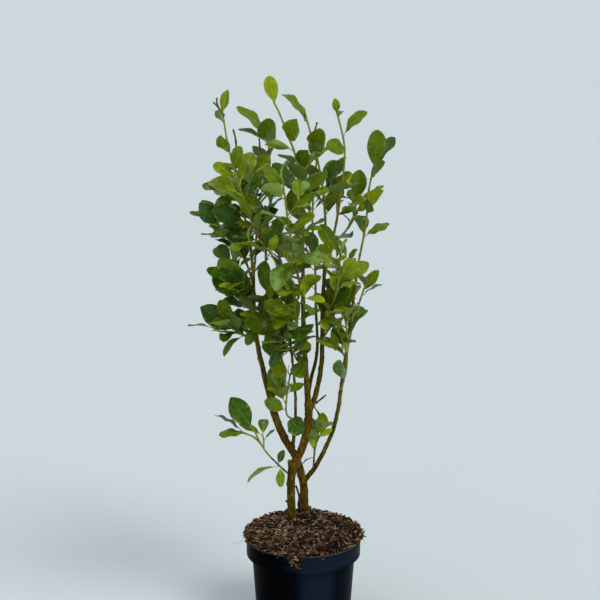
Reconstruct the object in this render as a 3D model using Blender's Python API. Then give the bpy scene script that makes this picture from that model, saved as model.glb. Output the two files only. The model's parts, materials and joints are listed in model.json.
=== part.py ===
"""New Zealand broadleaf shrub in a round nursery pot, built as separate solids.

The origin is the middle of the pot's underside, Z is up and the front of the plant
faces -Y. Lengths are metres. Two stems stand in the potting mix, boughs rise from
them, and each mass of foliage grows from one stem of its own by a seeded rule.
"""
import math
import random
from collections import namedtuple

import bmesh
import bpy
from mathutils import Vector
from mathutils.bvhtree import BVHTree
from mathutils.geometry import intersect_point_line

CLEARANCE = 0.0003
ROUND_SEGMENTS = 36

POT_HEIGHT = 0.130
RIM_RADIUS = 0.085
RIM_LIP_HEIGHT = 0.003
RIM_LIP_OVERHANG = 0.0015
BAND_HEIGHT = 0.026
BAND_FOOT_RADIUS = 0.0832
BODY_TOP_RADIUS = 0.0750
BASE_RADIUS = 0.0682
BASE_CHAMFER = 0.003
STEP_HEIGHT = 0.005
STEP_INNER_RISE = 0.001
WALL = 0.0014
POT_SHARP_ANGLE = math.radians(35)

MIX_EDGE_DROP = 0.003
MIX_CROWN_RISE = 0.028
MIX_RINGS = 6
MIX_MOUND_POWER = 2.6
MIX_ROUGHNESS = 0.0016
MIX_SEED = 11
GROUND = 0.152
LEVEL_PATCH_RADIUS = 0.021

LIMB_SIDES = 8
LIMB_SHARP_ANGLE = math.radians(50)
LIMB_SPACING = 0.021
ROUTE_STEPS = 12
ROOT_FLARE = 0.0022
ROOT_FLARE_HEIGHT = 0.012
SAWN_STUB_HEIGHT = 0.219
SAWN_STUB_LENGTH = 0.027
SAWN_STUB_RADIUS = 0.0032
SAWN_STUB_HEADING = (-0.10, -0.06, 1.0)

TWIG_SIDES = 3
TWIG_SPACING = 0.019
TWIG_TIP_RADIUS = 0.0012
SIDE_TWIG_RADIUS = 0.0014

LEAF_LENGTHS = (0.036, 0.055)
LEAF_ASPECTS = (0.46, 0.62)
STALK_SHARE = 0.17
STALK_RADIUS = 0.0008
STALK_ROOT_RADIUS = 0.00045
LEAF_KEEL = 0.0011
LEAF_ARCH = 0.08
# Share of the way along the blade, and share of its full width there.
BLADE_OUTLINE = ((0.0, 0.09), (0.24, 0.80), (0.52, 1.0), (0.82, 0.66))
LEAF_MARGIN = 0.0005
LEAF_TRIES = 9

INTERNODE = 0.0135
LEAF_TURN = math.radians(137.5)
LEAF_TURN_SCATTER = 0.5
LEAF_SPREADS = (math.radians(34), math.radians(64))
RETRY_TURN = 0.9
RETRY_SHRINK = 0.04
LIGHT = (-0.10, -0.28, 1.0)
OUTWARD_LEAN = 0.25
FACE_SCATTER = 0.45
OUTLINE_SCATTER = 0.12
RETRY_SCATTER = 0.1
TURNED_TO_FRONT = (0.0, -2.2, 0.0)
LONGEST_LEAF_REACH = 0.070
OUTLINE_LEAF_REACH = 0.048
TWIG_LEAD = 0.65
TWIG_BOW = 0.006
TWIG_LEAFY = (0.25, 0.75)

# Height, then the crown's reach to the left, to the right and to front and back.
CROWN = (
    (0.205, 0.085, 0.030, 0.050),
    (0.300, 0.122, 0.052, 0.085),
    (0.360, 0.100, 0.070, 0.105),
    (0.450, 0.150, 0.088, 0.125),
    (0.600, 0.150, 0.115, 0.130),
    (0.700, 0.125, 0.122, 0.120),
    (0.745, 0.112, 0.092, 0.085),
    (0.800, 0.060, 0.040, 0.040),
)

Limb = namedtuple("Limb", "name parent joins foot_radius tip_radius route")
Mass = namedtuple("Mass", "name limb foot_radius leaves leafy seed route reaches")

# A limb joins its parent's tip or its side; a stem stands on the potting mix.
LIMBS = (
    Limb("front_stem", None, "ground", 0.0058, 0.0056, (
        (-0.016, 0.002, GROUND), (-0.018, 0.001, 0.195), (-0.016, 0.000, 0.231),
        (-0.001, -0.004, 0.268), (0.007, -0.002, 0.306), (0.007, 0.000, 0.329))),
    Limb("back_stem", None, "ground", 0.0060, 0.0052, (
        (0.001, 0.045, GROUND), (0.000, 0.042, 0.195), (-0.011, 0.034, 0.238),
        (-0.028, 0.027, 0.271), (-0.042, 0.022, 0.308), (-0.047, 0.022, 0.330))),
    Limb("centre_bough", "front_stem", "tip", 0.0043, 0.0024, (
        (0.007, 0.000, 0.330), (0.004, 0.000, 0.373), (0.000, -0.004, 0.448),
        (-0.001, -0.006, 0.553))),
    Limb("right_centre_bough", "front_stem", "side", 0.0038, 0.0023, (
        (0.007, 0.000, 0.316), (0.017, 0.005, 0.341), (0.026, 0.010, 0.390),
        (0.027, 0.012, 0.470), (0.031, 0.010, 0.546))),
    Limb("inner_bough", "centre_bough", "side", 0.0027, 0.0018, (
        (0.006, 0.000, 0.341), (0.011, 0.017, 0.363), (0.020, 0.040, 0.400),
        (0.018, 0.062, 0.462))),
    Limb("left_bough", "back_stem", "tip", 0.0042, 0.0024, (
        (-0.047, 0.022, 0.331), (-0.057, 0.020, 0.370), (-0.069, 0.008, 0.440),
        (-0.071, 0.000, 0.523))),
    Limb("left_inner_bough", "back_stem", "side", 0.0034, 0.0020, (
        (-0.046, 0.022, 0.319), (-0.043, 0.033, 0.350), (-0.046, 0.048, 0.400),
        (-0.055, 0.070, 0.498))),
    Limb("slender_bough", "back_stem", "side", 0.0022, 0.0015, (
        (-0.016, 0.031, 0.256), (-0.012, 0.022, 0.292), (-0.012, 0.000, 0.350),
        (-0.018, -0.028, 0.424), (-0.028, -0.050, 0.518))),
    Limb("right_bough", "back_stem", "side", 0.0034, 0.0026, (
        (0.000, 0.041, 0.199), (0.020, 0.044, 0.225), (0.046, 0.036, 0.289),
        (0.059, 0.028, 0.379))),
    Limb("far_right_bough", "right_bough", "tip", 0.0023, 0.0017, (
        (0.059, 0.028, 0.380), (0.066, 0.017, 0.440), (0.077, 0.000, 0.536))),
)

# A mass has leaves between two shares of its stem's length. Its route starts on the
# limb. A reach is the tip of a leaf that the crown's outline needs, and then how far
# that leaf's upper side turns to the front.
MASSES = (
    Mass("foliage_top", "centre_bough", 0.0022, 14, (0.10, 0.55), 21,
         ((-0.001, -0.006, 0.553), (-0.001, -0.013, 0.620), (-0.010, -0.019, 0.685),
          (-0.031, -0.020, 0.743), (-0.040, -0.020, 0.762)),
         ((-0.048, -0.020, 0.799, 1.0), (-0.009, -0.064, 0.745, 0.8),
          (-0.053, -0.028, 0.706, 0.1), (0.034, -0.018, 0.667, 0.3),
          (0.006, -0.054, 0.702, 0.8))),
    Mass("foliage_top_right", "right_centre_bough", 0.0020, 9, (0.12, 0.56), 22,
         ((0.031, 0.010, 0.546), (0.030, 0.015, 0.610), (0.022, 0.019, 0.668),
          (0.003, 0.020, 0.742)),
         ((-0.031, 0.012, 0.772, 0.05), (0.025, -0.032, 0.728, 0.8),
          (0.029, 0.000, 0.553, 0.9), (0.067, 0.000, 0.664, 0.3),
          (0.020, 0.055, 0.700, 0.0))),
    Mass("foliage_right_shoot", "right_centre_bough", 0.0019, 8, (0.15, 0.50), 23,
         ((0.030, 0.010, 0.531), (0.044, -0.002, 0.585), (0.051, -0.012, 0.635),
          (0.056, -0.028, 0.700), (0.044, -0.036, 0.755)),
         ((0.086, -0.030, 0.752, 0.05), (0.030, -0.070, 0.712, 0.9),
          (0.073, -0.008, 0.616, 0.3),
          (0.041, -0.048, 0.771, 0.5), (0.050, -0.056, 0.754, 0.2))),
    Mass("foliage_curved_shoot", "right_centre_bough", 0.0017, 5, (0.30, 0.97), 24,
         ((0.029, 0.011, 0.517), (0.043, 0.026, 0.556), (0.066, 0.043, 0.582),
          (0.082, 0.054, 0.612)),
         ((0.080, 0.034, 0.664, 1.0), (0.065, 0.058, 0.632, 0.1),
          (0.066, 0.070, 0.628, 0.0))),
    Mass("foliage_far_right", "far_right_bough", 0.0016, 7, (0.24, 0.46), 25,
         ((0.077, 0.000, 0.536), (0.087, 0.000, 0.590), (0.091, 0.000, 0.640),
          (0.100, 0.000, 0.682)),
         ((0.102, -0.022, 0.726, 0.9), (0.127, 0.014, 0.712, -0.14),
          (0.111, -0.012, 0.646, 0.1), (0.121, 0.004, 0.591, 0.1),
          (0.111, -0.040, 0.684, 0.6))),
    Mass("foliage_right_spray", "right_bough", 0.0016, 8, (0.22, 1.00), 26,
         ((0.059, 0.029, 0.370), (0.069, 0.041, 0.425), (0.080, 0.048, 0.465),
          (0.088, 0.050, 0.490)),
         ((0.109, 0.050, 0.516, 0.1), (0.114, 0.052, 0.495, -0.2),
          (0.054, 0.044, 0.457, 0.3), (0.085, 0.085, 0.455, 0.0))),
    Mass("foliage_left_crown", "slender_bough", 0.0014, 22, (0.14, 0.58), 27,
         ((-0.028, -0.050, 0.518), (-0.042, -0.058, 0.556), (-0.063, -0.056, 0.585),
          (-0.084, -0.044, 0.640), (-0.102, -0.032, 0.700), (-0.111, -0.027, 0.755)),
         ((-0.103, -0.024, 0.781, 0.6), (-0.113, -0.060, 0.757, 0.6),
          (-0.122, -0.066, 0.683, 0.3),
          (-0.111, -0.072, 0.724, 0.6), (-0.083, -0.070, 0.708, 0.8),
          (-0.140, -0.030, 0.650, -0.08), (-0.036, -0.062, 0.587, 1.0))),
    Mass("foliage_left", "left_bough", 0.0022, 19, (0.12, 1.00), 28,
         ((-0.071, 0.000, 0.523), (-0.076, 0.004, 0.570), (-0.085, 0.008, 0.608),
          (-0.096, 0.010, 0.634)),
         ((-0.126, -0.040, 0.619, 1.0), (-0.104, -0.012, 0.618, 0.4),
          (-0.118, 0.040, 0.600, 0.0))),
    Mass("foliage_left_shoulder", "left_bough", 0.0016, 13, (0.30, 1.00), 29,
         ((-0.071, 0.000, 0.508), (-0.083, 0.004, 0.540), (-0.104, 0.010, 0.567),
          (-0.121, 0.014, 0.584)),
         ((-0.160, 0.004, 0.608, 0.0), (-0.144, -0.030, 0.626, 1.0),
          (-0.132, 0.040, 0.570, 0.0))),
    Mass("foliage_left_side", "left_bough", 0.0016, 14, (0.30, 1.00), 30,
         ((-0.070, 0.005, 0.461), (-0.075, -0.014, 0.488), (-0.084, -0.029, 0.513)),
         ((-0.119, -0.018, 0.545, 0.3), (-0.103, -0.036, 0.533, 0.9),
          (-0.128, -0.022, 0.519, 0.6))),
    Mass("foliage_left_low", "left_bough", 0.0016, 15, (0.30, 1.00), 31,
         ((-0.067, 0.011, 0.420), (-0.083, 0.006, 0.429), (-0.103, -0.002, 0.443)),
         ((-0.113, -0.008, 0.402, 0.0), (-0.147, 0.004, 0.472, 0.8),
          (-0.129, -0.014, 0.457, 0.5), (-0.165, -0.004, 0.446, -0.22))),
    Mass("foliage_left_back", "left_inner_bough", 0.0018, 14, (0.12, 0.76), 32,
         ((-0.055, 0.070, 0.498), (-0.054, 0.070, 0.557), (-0.048, 0.066, 0.616),
          (-0.049, 0.054, 0.689), (-0.056, 0.048, 0.721)),
         ((-0.095, 0.045, 0.751, 0.03), (-0.046, 0.004, 0.739, 0.8),
          (-0.093, 0.045, 0.719, 0.1),
          (-0.080, 0.095, 0.600, 0.0), (-0.035, 0.100, 0.640, 0.0))),
    Mass("foliage_back", "inner_bough", 0.0017, 11, (0.10, 1.00), 33,
         ((0.018, 0.062, 0.462), (0.017, 0.074, 0.520), (0.013, 0.086, 0.590),
          (0.019, 0.086, 0.672)),
         ((0.000, 0.122, 0.560, 0.0), (0.050, 0.105, 0.620, 0.0),
          (0.020, 0.070, 0.705, 0.0))),
    Mass("foliage_front", "centre_bough", 0.0018, 13, (0.22, 0.86), 34,
         ((-0.002, -0.005, 0.490), (-0.008, -0.032, 0.525), (-0.018, -0.066, 0.583),
          (-0.028, -0.080, 0.662)),
         ((-0.010, -0.118, 0.560, 0.2), (0.015, -0.105, 0.620, 0.2),
          (-0.053, -0.088, 0.684, 0.5))),
    Mass("foliage_low_left", "front_stem", 0.0014, 6, (0.22, 1.00), 35,
         ((-0.017, 0.000, 0.222), (-0.034, -0.005, 0.238), (-0.056, -0.014, 0.266),
          (-0.073, -0.020, 0.302)),
         ((-0.104, -0.024, 0.347, 1.0), (-0.127, -0.012, 0.317, -0.1),
          (-0.121, -0.022, 0.290, 0.0), (-0.028, -0.012, 0.265, 0.6),
          (-0.082, 0.010, 0.209, -0.22), (-0.032, -0.032, 0.216, 1.0))),
    Mass("foliage_low_right", "right_bough", 0.0013, 9, (0.35, 1.00), 36,
         ((0.014, 0.043, 0.219), (0.016, 0.036, 0.242), (0.019, 0.028, 0.262),
          (0.026, 0.024, 0.280)),
         ((0.007, 0.016, 0.271, 1.0), (0.028, 0.020, 0.280, 1.0),
          (0.028, 0.016, 0.313, 0.2), (0.042, 0.030, 0.283, 0.4),
          (-0.001, 0.034, 0.229, -0.2))),
    Mass("foliage_right_low", "right_bough", 0.0014, 12, (0.40, 1.00), 37,
         ((0.056, 0.031, 0.345), (0.062, 0.014, 0.380), (0.062, -0.002, 0.430),
          (0.058, -0.010, 0.462)),
         ((0.041, -0.035, 0.391, 1.0), (0.067, -0.012, 0.460, 1.0),
          (0.053, -0.024, 0.420, 1.0))),
    Mass("foliage_centre_low", "centre_bough", 0.0015, 14, (0.28, 1.00), 38,
         ((0.003, -0.001, 0.385), (-0.010, -0.020, 0.402), (-0.020, -0.044, 0.430)),
         ((-0.040, -0.050, 0.424, 0.8), (-0.002, -0.046, 0.407, 0.7),
          (0.004, -0.078, 0.440, 0.2))),
    Mass("foliage_front_right", "right_centre_bough", 0.0017, 9, (0.25, 1.00), 39,
         ((0.027, 0.012, 0.450), (0.039, -0.014, 0.476), (0.047, -0.044, 0.512),
          (0.050, -0.062, 0.560)),
         ((0.090, -0.045, 0.545, 0.6), (0.061, -0.056, 0.525, 0.8),
          (0.043, -0.062, 0.544, 0.8), (0.045, -0.100, 0.535, 0.2))),
    Mass("foliage_back_right", "inner_bough", 0.0015, 8, (0.28, 1.00), 40,
         ((0.020, 0.045, 0.412), (0.040, 0.060, 0.438), (0.057, 0.075, 0.478),
          (0.066, 0.082, 0.520)),
         ((0.078, 0.062, 0.526, 0.3), (0.085, 0.100, 0.500, 0.0),
          (0.062, 0.118, 0.500, 0.0))),
    Mass("foliage_back_left", "left_inner_bough", 0.0015, 13, (0.28, 1.00), 41,
         ((-0.049, 0.055, 0.425), (-0.071, 0.066, 0.445), (-0.093, 0.070, 0.480),
          (-0.103, 0.070, 0.520)),
         ((-0.119, 0.045, 0.469, 0.3), (-0.120, 0.085, 0.530, 0.0),
          (-0.100, 0.108, 0.505, 0.0))),
    Mass("foliage_inner_left", "left_inner_bough", 0.0013, 10, (0.30, 1.00), 42,
         ((-0.044, 0.040, 0.372), (-0.030, 0.054, 0.392), (-0.022, 0.072, 0.420)),
         ((-0.040, 0.108, 0.430, 0.0), (-0.004, 0.096, 0.395, 0.0))),
    Mass("foliage_centre_front", "centre_bough", 0.0015, 13, (0.30, 1.00), 43,
         ((0.000, -0.003, 0.430), (-0.008, -0.026, 0.450), (-0.012, -0.054, 0.478),
          (-0.012, -0.066, 0.505)),
         ((-0.055, -0.058, 0.493, 0.9), (-0.020, -0.070, 0.457, 1.0),
          (-0.012, -0.102, 0.500, 0.2))),
    Mass("foliage_centre_left", "left_bough", 0.0015, 15, (0.30, 1.00), 44,
         ((-0.069, 0.008, 0.436), (-0.056, -0.006, 0.456), (-0.046, -0.018, 0.488)),
         ((-0.081, -0.020, 0.422, 0.5), (-0.028, 0.006, 0.519, 0.4))),
    Mass("foliage_centre_right", "right_centre_bough", 0.0015, 10, (0.26, 1.00), 45,
         ((0.027, 0.012, 0.425), (0.039, 0.004, 0.446), (0.049, -0.008, 0.486)),
         ((0.041, -0.012, 0.474, 0.6), (0.046, 0.000, 0.409, 0.1))),
    Mass("foliage_slender_low", "slender_bough", 0.0012, 8, (0.30, 1.00), 46,
         ((-0.012, 0.016, 0.300), (-0.024, -0.004, 0.316), (-0.024, -0.014, 0.345),
          (-0.019, -0.022, 0.379)),
         ((-0.001, -0.050, 0.301, 1.0), (-0.056, -0.022, 0.341, 0.6),
          (-0.038, -0.022, 0.372, 0.9), (0.001, -0.010, 0.363, 0.3))),
    Mass("foliage_slender_mid", "slender_bough", 0.0012, 16, (0.25, 1.00), 47,
         ((-0.017, -0.024, 0.414), (-0.032, -0.030, 0.432), (-0.044, -0.036, 0.462)),
         ((-0.043, -0.050, 0.398, 0.5), (-0.084, -0.045, 0.464, 0.6))),
    Mass("foliage_inner_back", "left_inner_bough", 0.0014, 11, (0.26, 1.00), 48,
         ((-0.051, 0.062, 0.455), (-0.036, 0.076, 0.480), (-0.020, 0.086, 0.520)),
         ((-0.030, 0.122, 0.500, 0.0), (0.010, 0.110, 0.530, 0.0))),
    Mass("foliage_upper_left", "left_bough", 0.0015, 10, (0.25, 0.86), 49,
         ((-0.071, 0.001, 0.512), (-0.067, 0.013, 0.560), (-0.068, 0.018, 0.616),
          (-0.076, 0.016, 0.662)),
         ((-0.049, 0.000, 0.691, 0.9), (-0.072, 0.024, 0.679, 0.8))),
)

POT_COLOUR = (0.012, 0.013, 0.016, 1.0)
MIX_COLOUR = (0.085, 0.048, 0.028, 1.0)
BARK_COLOUR = (0.140, 0.068, 0.022, 1.0)
GREEN_BARK_COLOUR = (0.110, 0.110, 0.020, 1.0)
LEAF_DARK = (0.040, 0.110, 0.018)
LEAF_BRIGHT = (0.150, 0.290, 0.020)
TINT_STEP = 0.37


def clear_scene():
    for thing in list(bpy.data.objects):
        bpy.data.objects.remove(thing, do_unlink=True)


def plain_material(name, colour, roughness, metallic=0.0):
    material = bpy.data.materials.new(name)
    material.use_nodes = True
    shader = material.node_tree.nodes["Principled BSDF"]
    shader.inputs["Base Color"].default_value = colour
    shader.inputs["Roughness"].default_value = roughness
    shader.inputs["Metallic"].default_value = metallic
    material.diffuse_color = colour
    return material


def add_object(name, mesh_data, material=None):
    mesh = bpy.data.meshes.new(name)
    mesh.from_pydata(mesh_data[0], [], mesh_data[1])
    mesh.validate()
    piece = bpy.data.objects.new(name, mesh)
    bpy.context.scene.collection.objects.link(piece)
    if material:
        mesh.materials.append(material)
    return piece


def apply_modifiers(piece):
    """Keep the evaluated mesh and drop the modifiers that made it."""
    evaluated = piece.evaluated_get(bpy.context.evaluated_depsgraph_get())
    finished = bpy.data.meshes.new_from_object(evaluated)
    piece.modifiers.clear()
    piece.data = finished


def keep_largest_body(piece):
    """Drop the loose scraps that a Boolean can leave, and face the rest outwards."""
    mesh = bmesh.new()
    mesh.from_mesh(piece.data)
    unseen = set(mesh.verts)
    bodies = []
    while unseen:
        body, edge = set(), [unseen.pop()]
        while edge:
            vert = edge.pop()
            body.add(vert)
            for link in vert.link_edges:
                other = link.other_vert(vert)
                if other in unseen:
                    unseen.remove(other)
                    edge.append(other)
        bodies.append(body)
    bodies.sort(key=lambda body: sum(len(vert.link_faces) for vert in body))
    for scrap in bodies[:-1]:
        bmesh.ops.delete(mesh, geom=list(scrap), context="VERTS")
    bmesh.ops.recalc_face_normals(mesh, faces=mesh.faces)
    mesh.to_mesh(piece.data)
    mesh.free()


def turned(profile, segments=ROUND_SEGMENTS):
    """Turn a closed outline of radius and height, its ends on the axis, round Z."""
    verts, faces, rings = [], [], []
    for radius, height in profile:
        if radius == 0:
            rings.append([len(verts)] * segments)
            verts.append(Vector((0, 0, height)))
            continue
        rings.append(list(range(len(verts), len(verts) + segments)))
        for step in range(segments):
            angle = 2 * math.pi * step / segments
            verts.append(Vector((radius * math.cos(angle), radius * math.sin(angle), height)))
    for lower, upper in zip(rings, rings[1:]):
        for step in range(segments):
            after = (step + 1) % segments
            corners = (lower[step], lower[after], upper[after], upper[step])
            face = list(dict.fromkeys(corners))
            if len(face) > 2:
                faces.append(face)
    return verts, faces


def pot_inside():
    """Radius and height down the pot's inner face, from the lip to the floor's edge.

    The slanting step's inner face lies a little higher, which keeps its wall full.
    """
    band_foot = POT_HEIGHT - BAND_HEIGHT + STEP_INNER_RISE
    return (
        (RIM_RADIUS - RIM_LIP_OVERHANG - WALL, POT_HEIGHT),
        (BAND_FOOT_RADIUS - WALL, band_foot),
        (BODY_TOP_RADIUS - WALL, band_foot - STEP_HEIGHT),
        (BASE_RADIUS - WALL, BASE_CHAMFER + WALL),
        (BASE_RADIUS - BASE_CHAMFER - WALL, WALL),
    )


def pot_solid():
    band_foot = POT_HEIGHT - BAND_HEIGHT
    outside = (
        (0, 0),
        (BASE_RADIUS - BASE_CHAMFER, 0),
        (BASE_RADIUS, BASE_CHAMFER),
        (BODY_TOP_RADIUS, band_foot - STEP_HEIGHT),
        (BAND_FOOT_RADIUS, band_foot),
        (RIM_RADIUS - RIM_LIP_OVERHANG, POT_HEIGHT - RIM_LIP_HEIGHT),
        (RIM_RADIUS, POT_HEIGHT - RIM_LIP_HEIGHT),
        (RIM_RADIUS, POT_HEIGHT),
    )
    return turned(outside + pot_inside() + ((0, WALL),))


def mix_height(x, y, lumps):
    """Height of the mounded potting mix, level round the foot of each stem."""
    for limb in LIMBS:
        if limb.joins == "ground":
            foot = limb.route[0]
            if math.hypot(x - foot[0], y - foot[1]) < LEVEL_PATCH_RADIUS:
                return GROUND - CLEARANCE
    edge_height = POT_HEIGHT - MIX_EDGE_DROP
    share = math.hypot(x, y) / RIM_RADIUS
    mound = MIX_CROWN_RISE * (1 - share ** MIX_MOUND_POWER)
    return min(edge_height + mound, GROUND - CLEARANCE) - lumps.uniform(0, MIX_ROUGHNESS)


def mix_solid():
    """Potting mix that fills the pot a hair clear of its wall, mounded at the top."""
    inside = [(radius - CLEARANCE, height) for radius, height in pot_inside()]
    (top_radius, top), (band_radius, band_foot) = inside[:2]
    edge_height = POT_HEIGHT - MIX_EDGE_DROP
    slope = (top_radius - band_radius) / (top - band_foot)
    edge_radius = band_radius + slope * (edge_height - band_foot)
    floor = [(radius, height + CLEARANCE) for radius, height in inside[:0:-1]]
    crown = [(edge_radius * (1 - ring / MIX_RINGS), POT_HEIGHT) for ring in range(MIX_RINGS)]
    crown[0] = (edge_radius, edge_height)
    verts, faces = turned([(0, WALL + CLEARANCE)] + floor + crown + [(0, GROUND)])
    lumps = random.Random(MIX_SEED)
    for vert in verts:
        if vert.z > edge_height:
            vert.z = mix_height(vert.x, vert.y, lumps)
    return verts, faces


def smooth_route(waypoints, spacing):
    """Evenly spaced points on a Catmull-Rom curve through the waypoints."""
    stops = [Vector(point) for point in waypoints]
    stops = [stops[0] * 2 - stops[1]] + stops + [stops[-1] * 2 - stops[-2]]
    fine = []
    for a, b, c, d in zip(stops, stops[1:], stops[2:], stops[3:]):
        for step in range(ROUTE_STEPS):
            t = step / ROUTE_STEPS
            fine.append(0.5 * (2 * b + (c - a) * t + (2 * a - 5 * b + 4 * c - d) * t * t
                               + (3 * b - a - 3 * c + d) * t ** 3))
    fine.append(stops[-2])
    lengths = [(q - p).length for p, q in zip(fine, fine[1:])]
    count = max(2, round(sum(lengths) / spacing))
    even, wanted, done = [fine[0]], sum(lengths) / count, 0.0
    for index, length in enumerate(lengths):
        while done + length >= wanted * len(even) - 1e-9 and len(even) <= count:
            share = (wanted * len(even) - done) / length
            even.append(fine[index].lerp(fine[index + 1], min(share, 1.0)))
        done += length
    return even


def square_to(direction, hint):
    """The part of hint that is square to direction, at unit length."""
    across = hint - direction * hint.dot(direction)
    if across.length < 1e-4:
        across = direction.orthogonal()
    return across.normalized()


class Shoot:
    """A round limb or twig that tapers along a smooth route."""

    def __init__(self, waypoints, foot_radius, tip_radius, spacing,
                 first_heading=None, flare=0.0):
        self.centres = smooth_route(waypoints, spacing)
        self.step = (self.centres[1] - self.centres[0]).length
        self.length = self.step * (len(self.centres) - 1)
        self.foot_radius = foot_radius
        self.tip_radius = tip_radius
        self.first_heading = first_heading
        self.flare = flare

    def heading(self, index):
        if index == 0 and self.first_heading:
            return self.first_heading
        before = self.centres[max(index - 1, 0)]
        after = self.centres[min(index + 1, len(self.centres) - 1)]
        return (after - before).normalized()

    def at(self, distance):
        """Centre and heading at a distance along the shoot."""
        place = min(max(distance / self.step, 0.0), len(self.centres) - 1.001)
        index = int(place)
        centre = self.centres[index].lerp(self.centres[index + 1], place - index)
        return centre, self.heading(index).lerp(self.heading(index + 1), place - index).normalized()

    def radius(self, distance):
        share = min(max(distance / self.length, 0.0), 1.0)
        flare = self.flare * math.exp(-distance / ROOT_FLARE_HEIGHT)
        return self.foot_radius + (self.tip_radius - self.foot_radius) * share + flare

    def nearest(self, point):
        """Distance along the shoot at which it passes closest to a point."""
        best = (1e9, 0.0)
        for index, (p, q) in enumerate(zip(self.centres, self.centres[1:])):
            share = min(max(intersect_point_line(point, p, q)[1], 0.0), 1.0)
            gap = (point - p.lerp(q, share)).length
            best = min(best, (gap, (index + share) * self.step))
        return best[1]

    def foot_for(self, target):
        """Distance along the shoot from which a leaf or a twig slants up to a target."""
        near = self.nearest(target)
        centre, heading = self.at(near)
        gap = target - centre
        across = (gap - heading * gap.dot(heading)).length
        return min(max(near - TWIG_LEAD * across, TWIG_SPACING), self.length)

    def mesh_data(self, sides, extra=0.0, foot_plane=None, start=0):
        """Tube round the route, thicker and longer by extra.

        foot_plane slides the first ring onto a slanting cut, and start leaves out the
        first rings.
        """
        verts, faces = [], []
        side = square_to(self.heading(0), Vector((1, 0, 0)))
        count = len(self.centres)
        for index in range(start, count):
            heading = self.heading(index)
            side = square_to(heading, side)
            other = heading.cross(side)
            radius = self.radius(index * self.step) + extra
            middle = self.centres[index]
            if index == start:
                middle = middle - heading * extra
            if index == count - 1:
                middle = middle + heading * extra
            for corner in range(sides):
                angle = 2 * math.pi * corner / sides
                out = side * math.cos(angle) + other * math.sin(angle)
                verts.append(middle + out * radius)
        if foot_plane:
            middle, normal = foot_plane
            run = self.centres[1] - self.centres[0]
            for corner in range(sides):
                slide = (middle - verts[corner]).dot(normal) / run.dot(normal)
                verts[corner] = verts[corner] + run * slide
        for ring in range(count - start - 1):
            for corner in range(sides):
                after = (corner + 1) % sides
                low, high = ring * sides, (ring + 1) * sides
                faces.append((low + corner, low + after, high + after, high + corner))
        faces.append(tuple(reversed(range(sides))))
        faces.append(tuple(range((count - start - 1) * sides, (count - start) * sides)))
        return verts, faces


def leaf_mesh(leaf, extra=0.0, blade_only=False):
    """A stalk and a blade keeled below, as rings of three corners that close to a point."""
    chord = leaf.tip - leaf.root
    along = chord.normalized()
    face = square_to(along, leaf.face)
    side = along.cross(face)
    arch = LEAF_ARCH * chord.length
    stations = [(0.0, STALK_ROOT_RADIUS, STALK_ROOT_RADIUS)]
    for share, width in BLADE_OUTLINE:
        half = max(width * leaf.width / 2, STALK_RADIUS)
        stations.append((STALK_SHARE + (1 - STALK_SHARE) * share, half, LEAF_KEEL))
    if blade_only:
        stations = stations[2:]
    verts, faces = [], []
    for share, half, keel in stations:
        middle = leaf.root + chord * share + face * arch * 4 * share * (1 - share)
        slant = (along + face * 4 * LEAF_ARCH * (1 - 2 * share)).normalized()
        top = side.cross(slant)
        verts += [middle - side * (half + extra) + top * extra,
                  middle + side * (half + extra) + top * extra,
                  middle - top * (keel + extra)]
    verts.append(leaf.tip + along * extra)
    last = len(verts) - 1
    for ring in range(len(stations) - 1):
        for corner in range(3):
            after = (corner + 1) % 3
            low, high = ring * 3, ring * 3 + 3
            faces.append((low + corner, high + corner, high + after, low + after))
    for corner in range(3):
        faces.append((last - 3 + corner, last, last - 3 + (corner + 1) % 3))
    faces.append((0, 1, 2))
    return verts, faces


Leaf = namedtuple("Leaf", "root tip face width")


class Space:
    """What has been placed so far, so that later twigs and leaves keep clear of it."""

    def __init__(self):
        self.rows = []

    def add(self, owner, mesh_data):
        self.rows.append((owner, box_of(mesh_data[0]), BVHTree.FromPolygons(*mesh_data)))

    def touches(self, mesh_data, but_not=()):
        low, high = box_of(mesh_data[0])
        tree = BVHTree.FromPolygons(*mesh_data)
        for owner, (other_low, other_high), other in self.rows:
            if owner in but_not:
                continue
            apart = any(low[axis] > other_high[axis] or other_low[axis] > high[axis]
                        for axis in range(3))
            if not apart and tree.overlap(other):
                return True
        return False


def box_of(verts):
    return ([min(vert[axis] for vert in verts) for axis in range(3)],
            [max(vert[axis] for vert in verts) for axis in range(3)])


def inside_crown(point):
    """Whether a leaf's tip keeps within the crown's outline at its height."""
    if not CROWN[0][0] <= point.z <= CROWN[-1][0]:
        return False
    for lower, upper in zip(CROWN, CROWN[1:]):
        if point.z <= upper[0]:
            share = (point.z - lower[0]) / (upper[0] - lower[0])
            left, right, deep = (low + (high - low) * share
                                 for low, high in zip(lower[1:], upper[1:]))
            across = point.x / (right if point.x > 0 else left)
            return across ** 2 + (point.y / deep) ** 2 < 1
    return False


def lit_face(root, rng, scatter=FACE_SCATTER):
    """Way that a leaf's upper side turns: to the light, a little outwards, and at random."""
    level = Vector((root.x, root.y, 0))
    jitter = Vector([rng.uniform(-scatter, scatter) for _ in range(3)])
    return Vector(LIGHT) + level.normalized() * OUTWARD_LEAN + jitter


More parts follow.
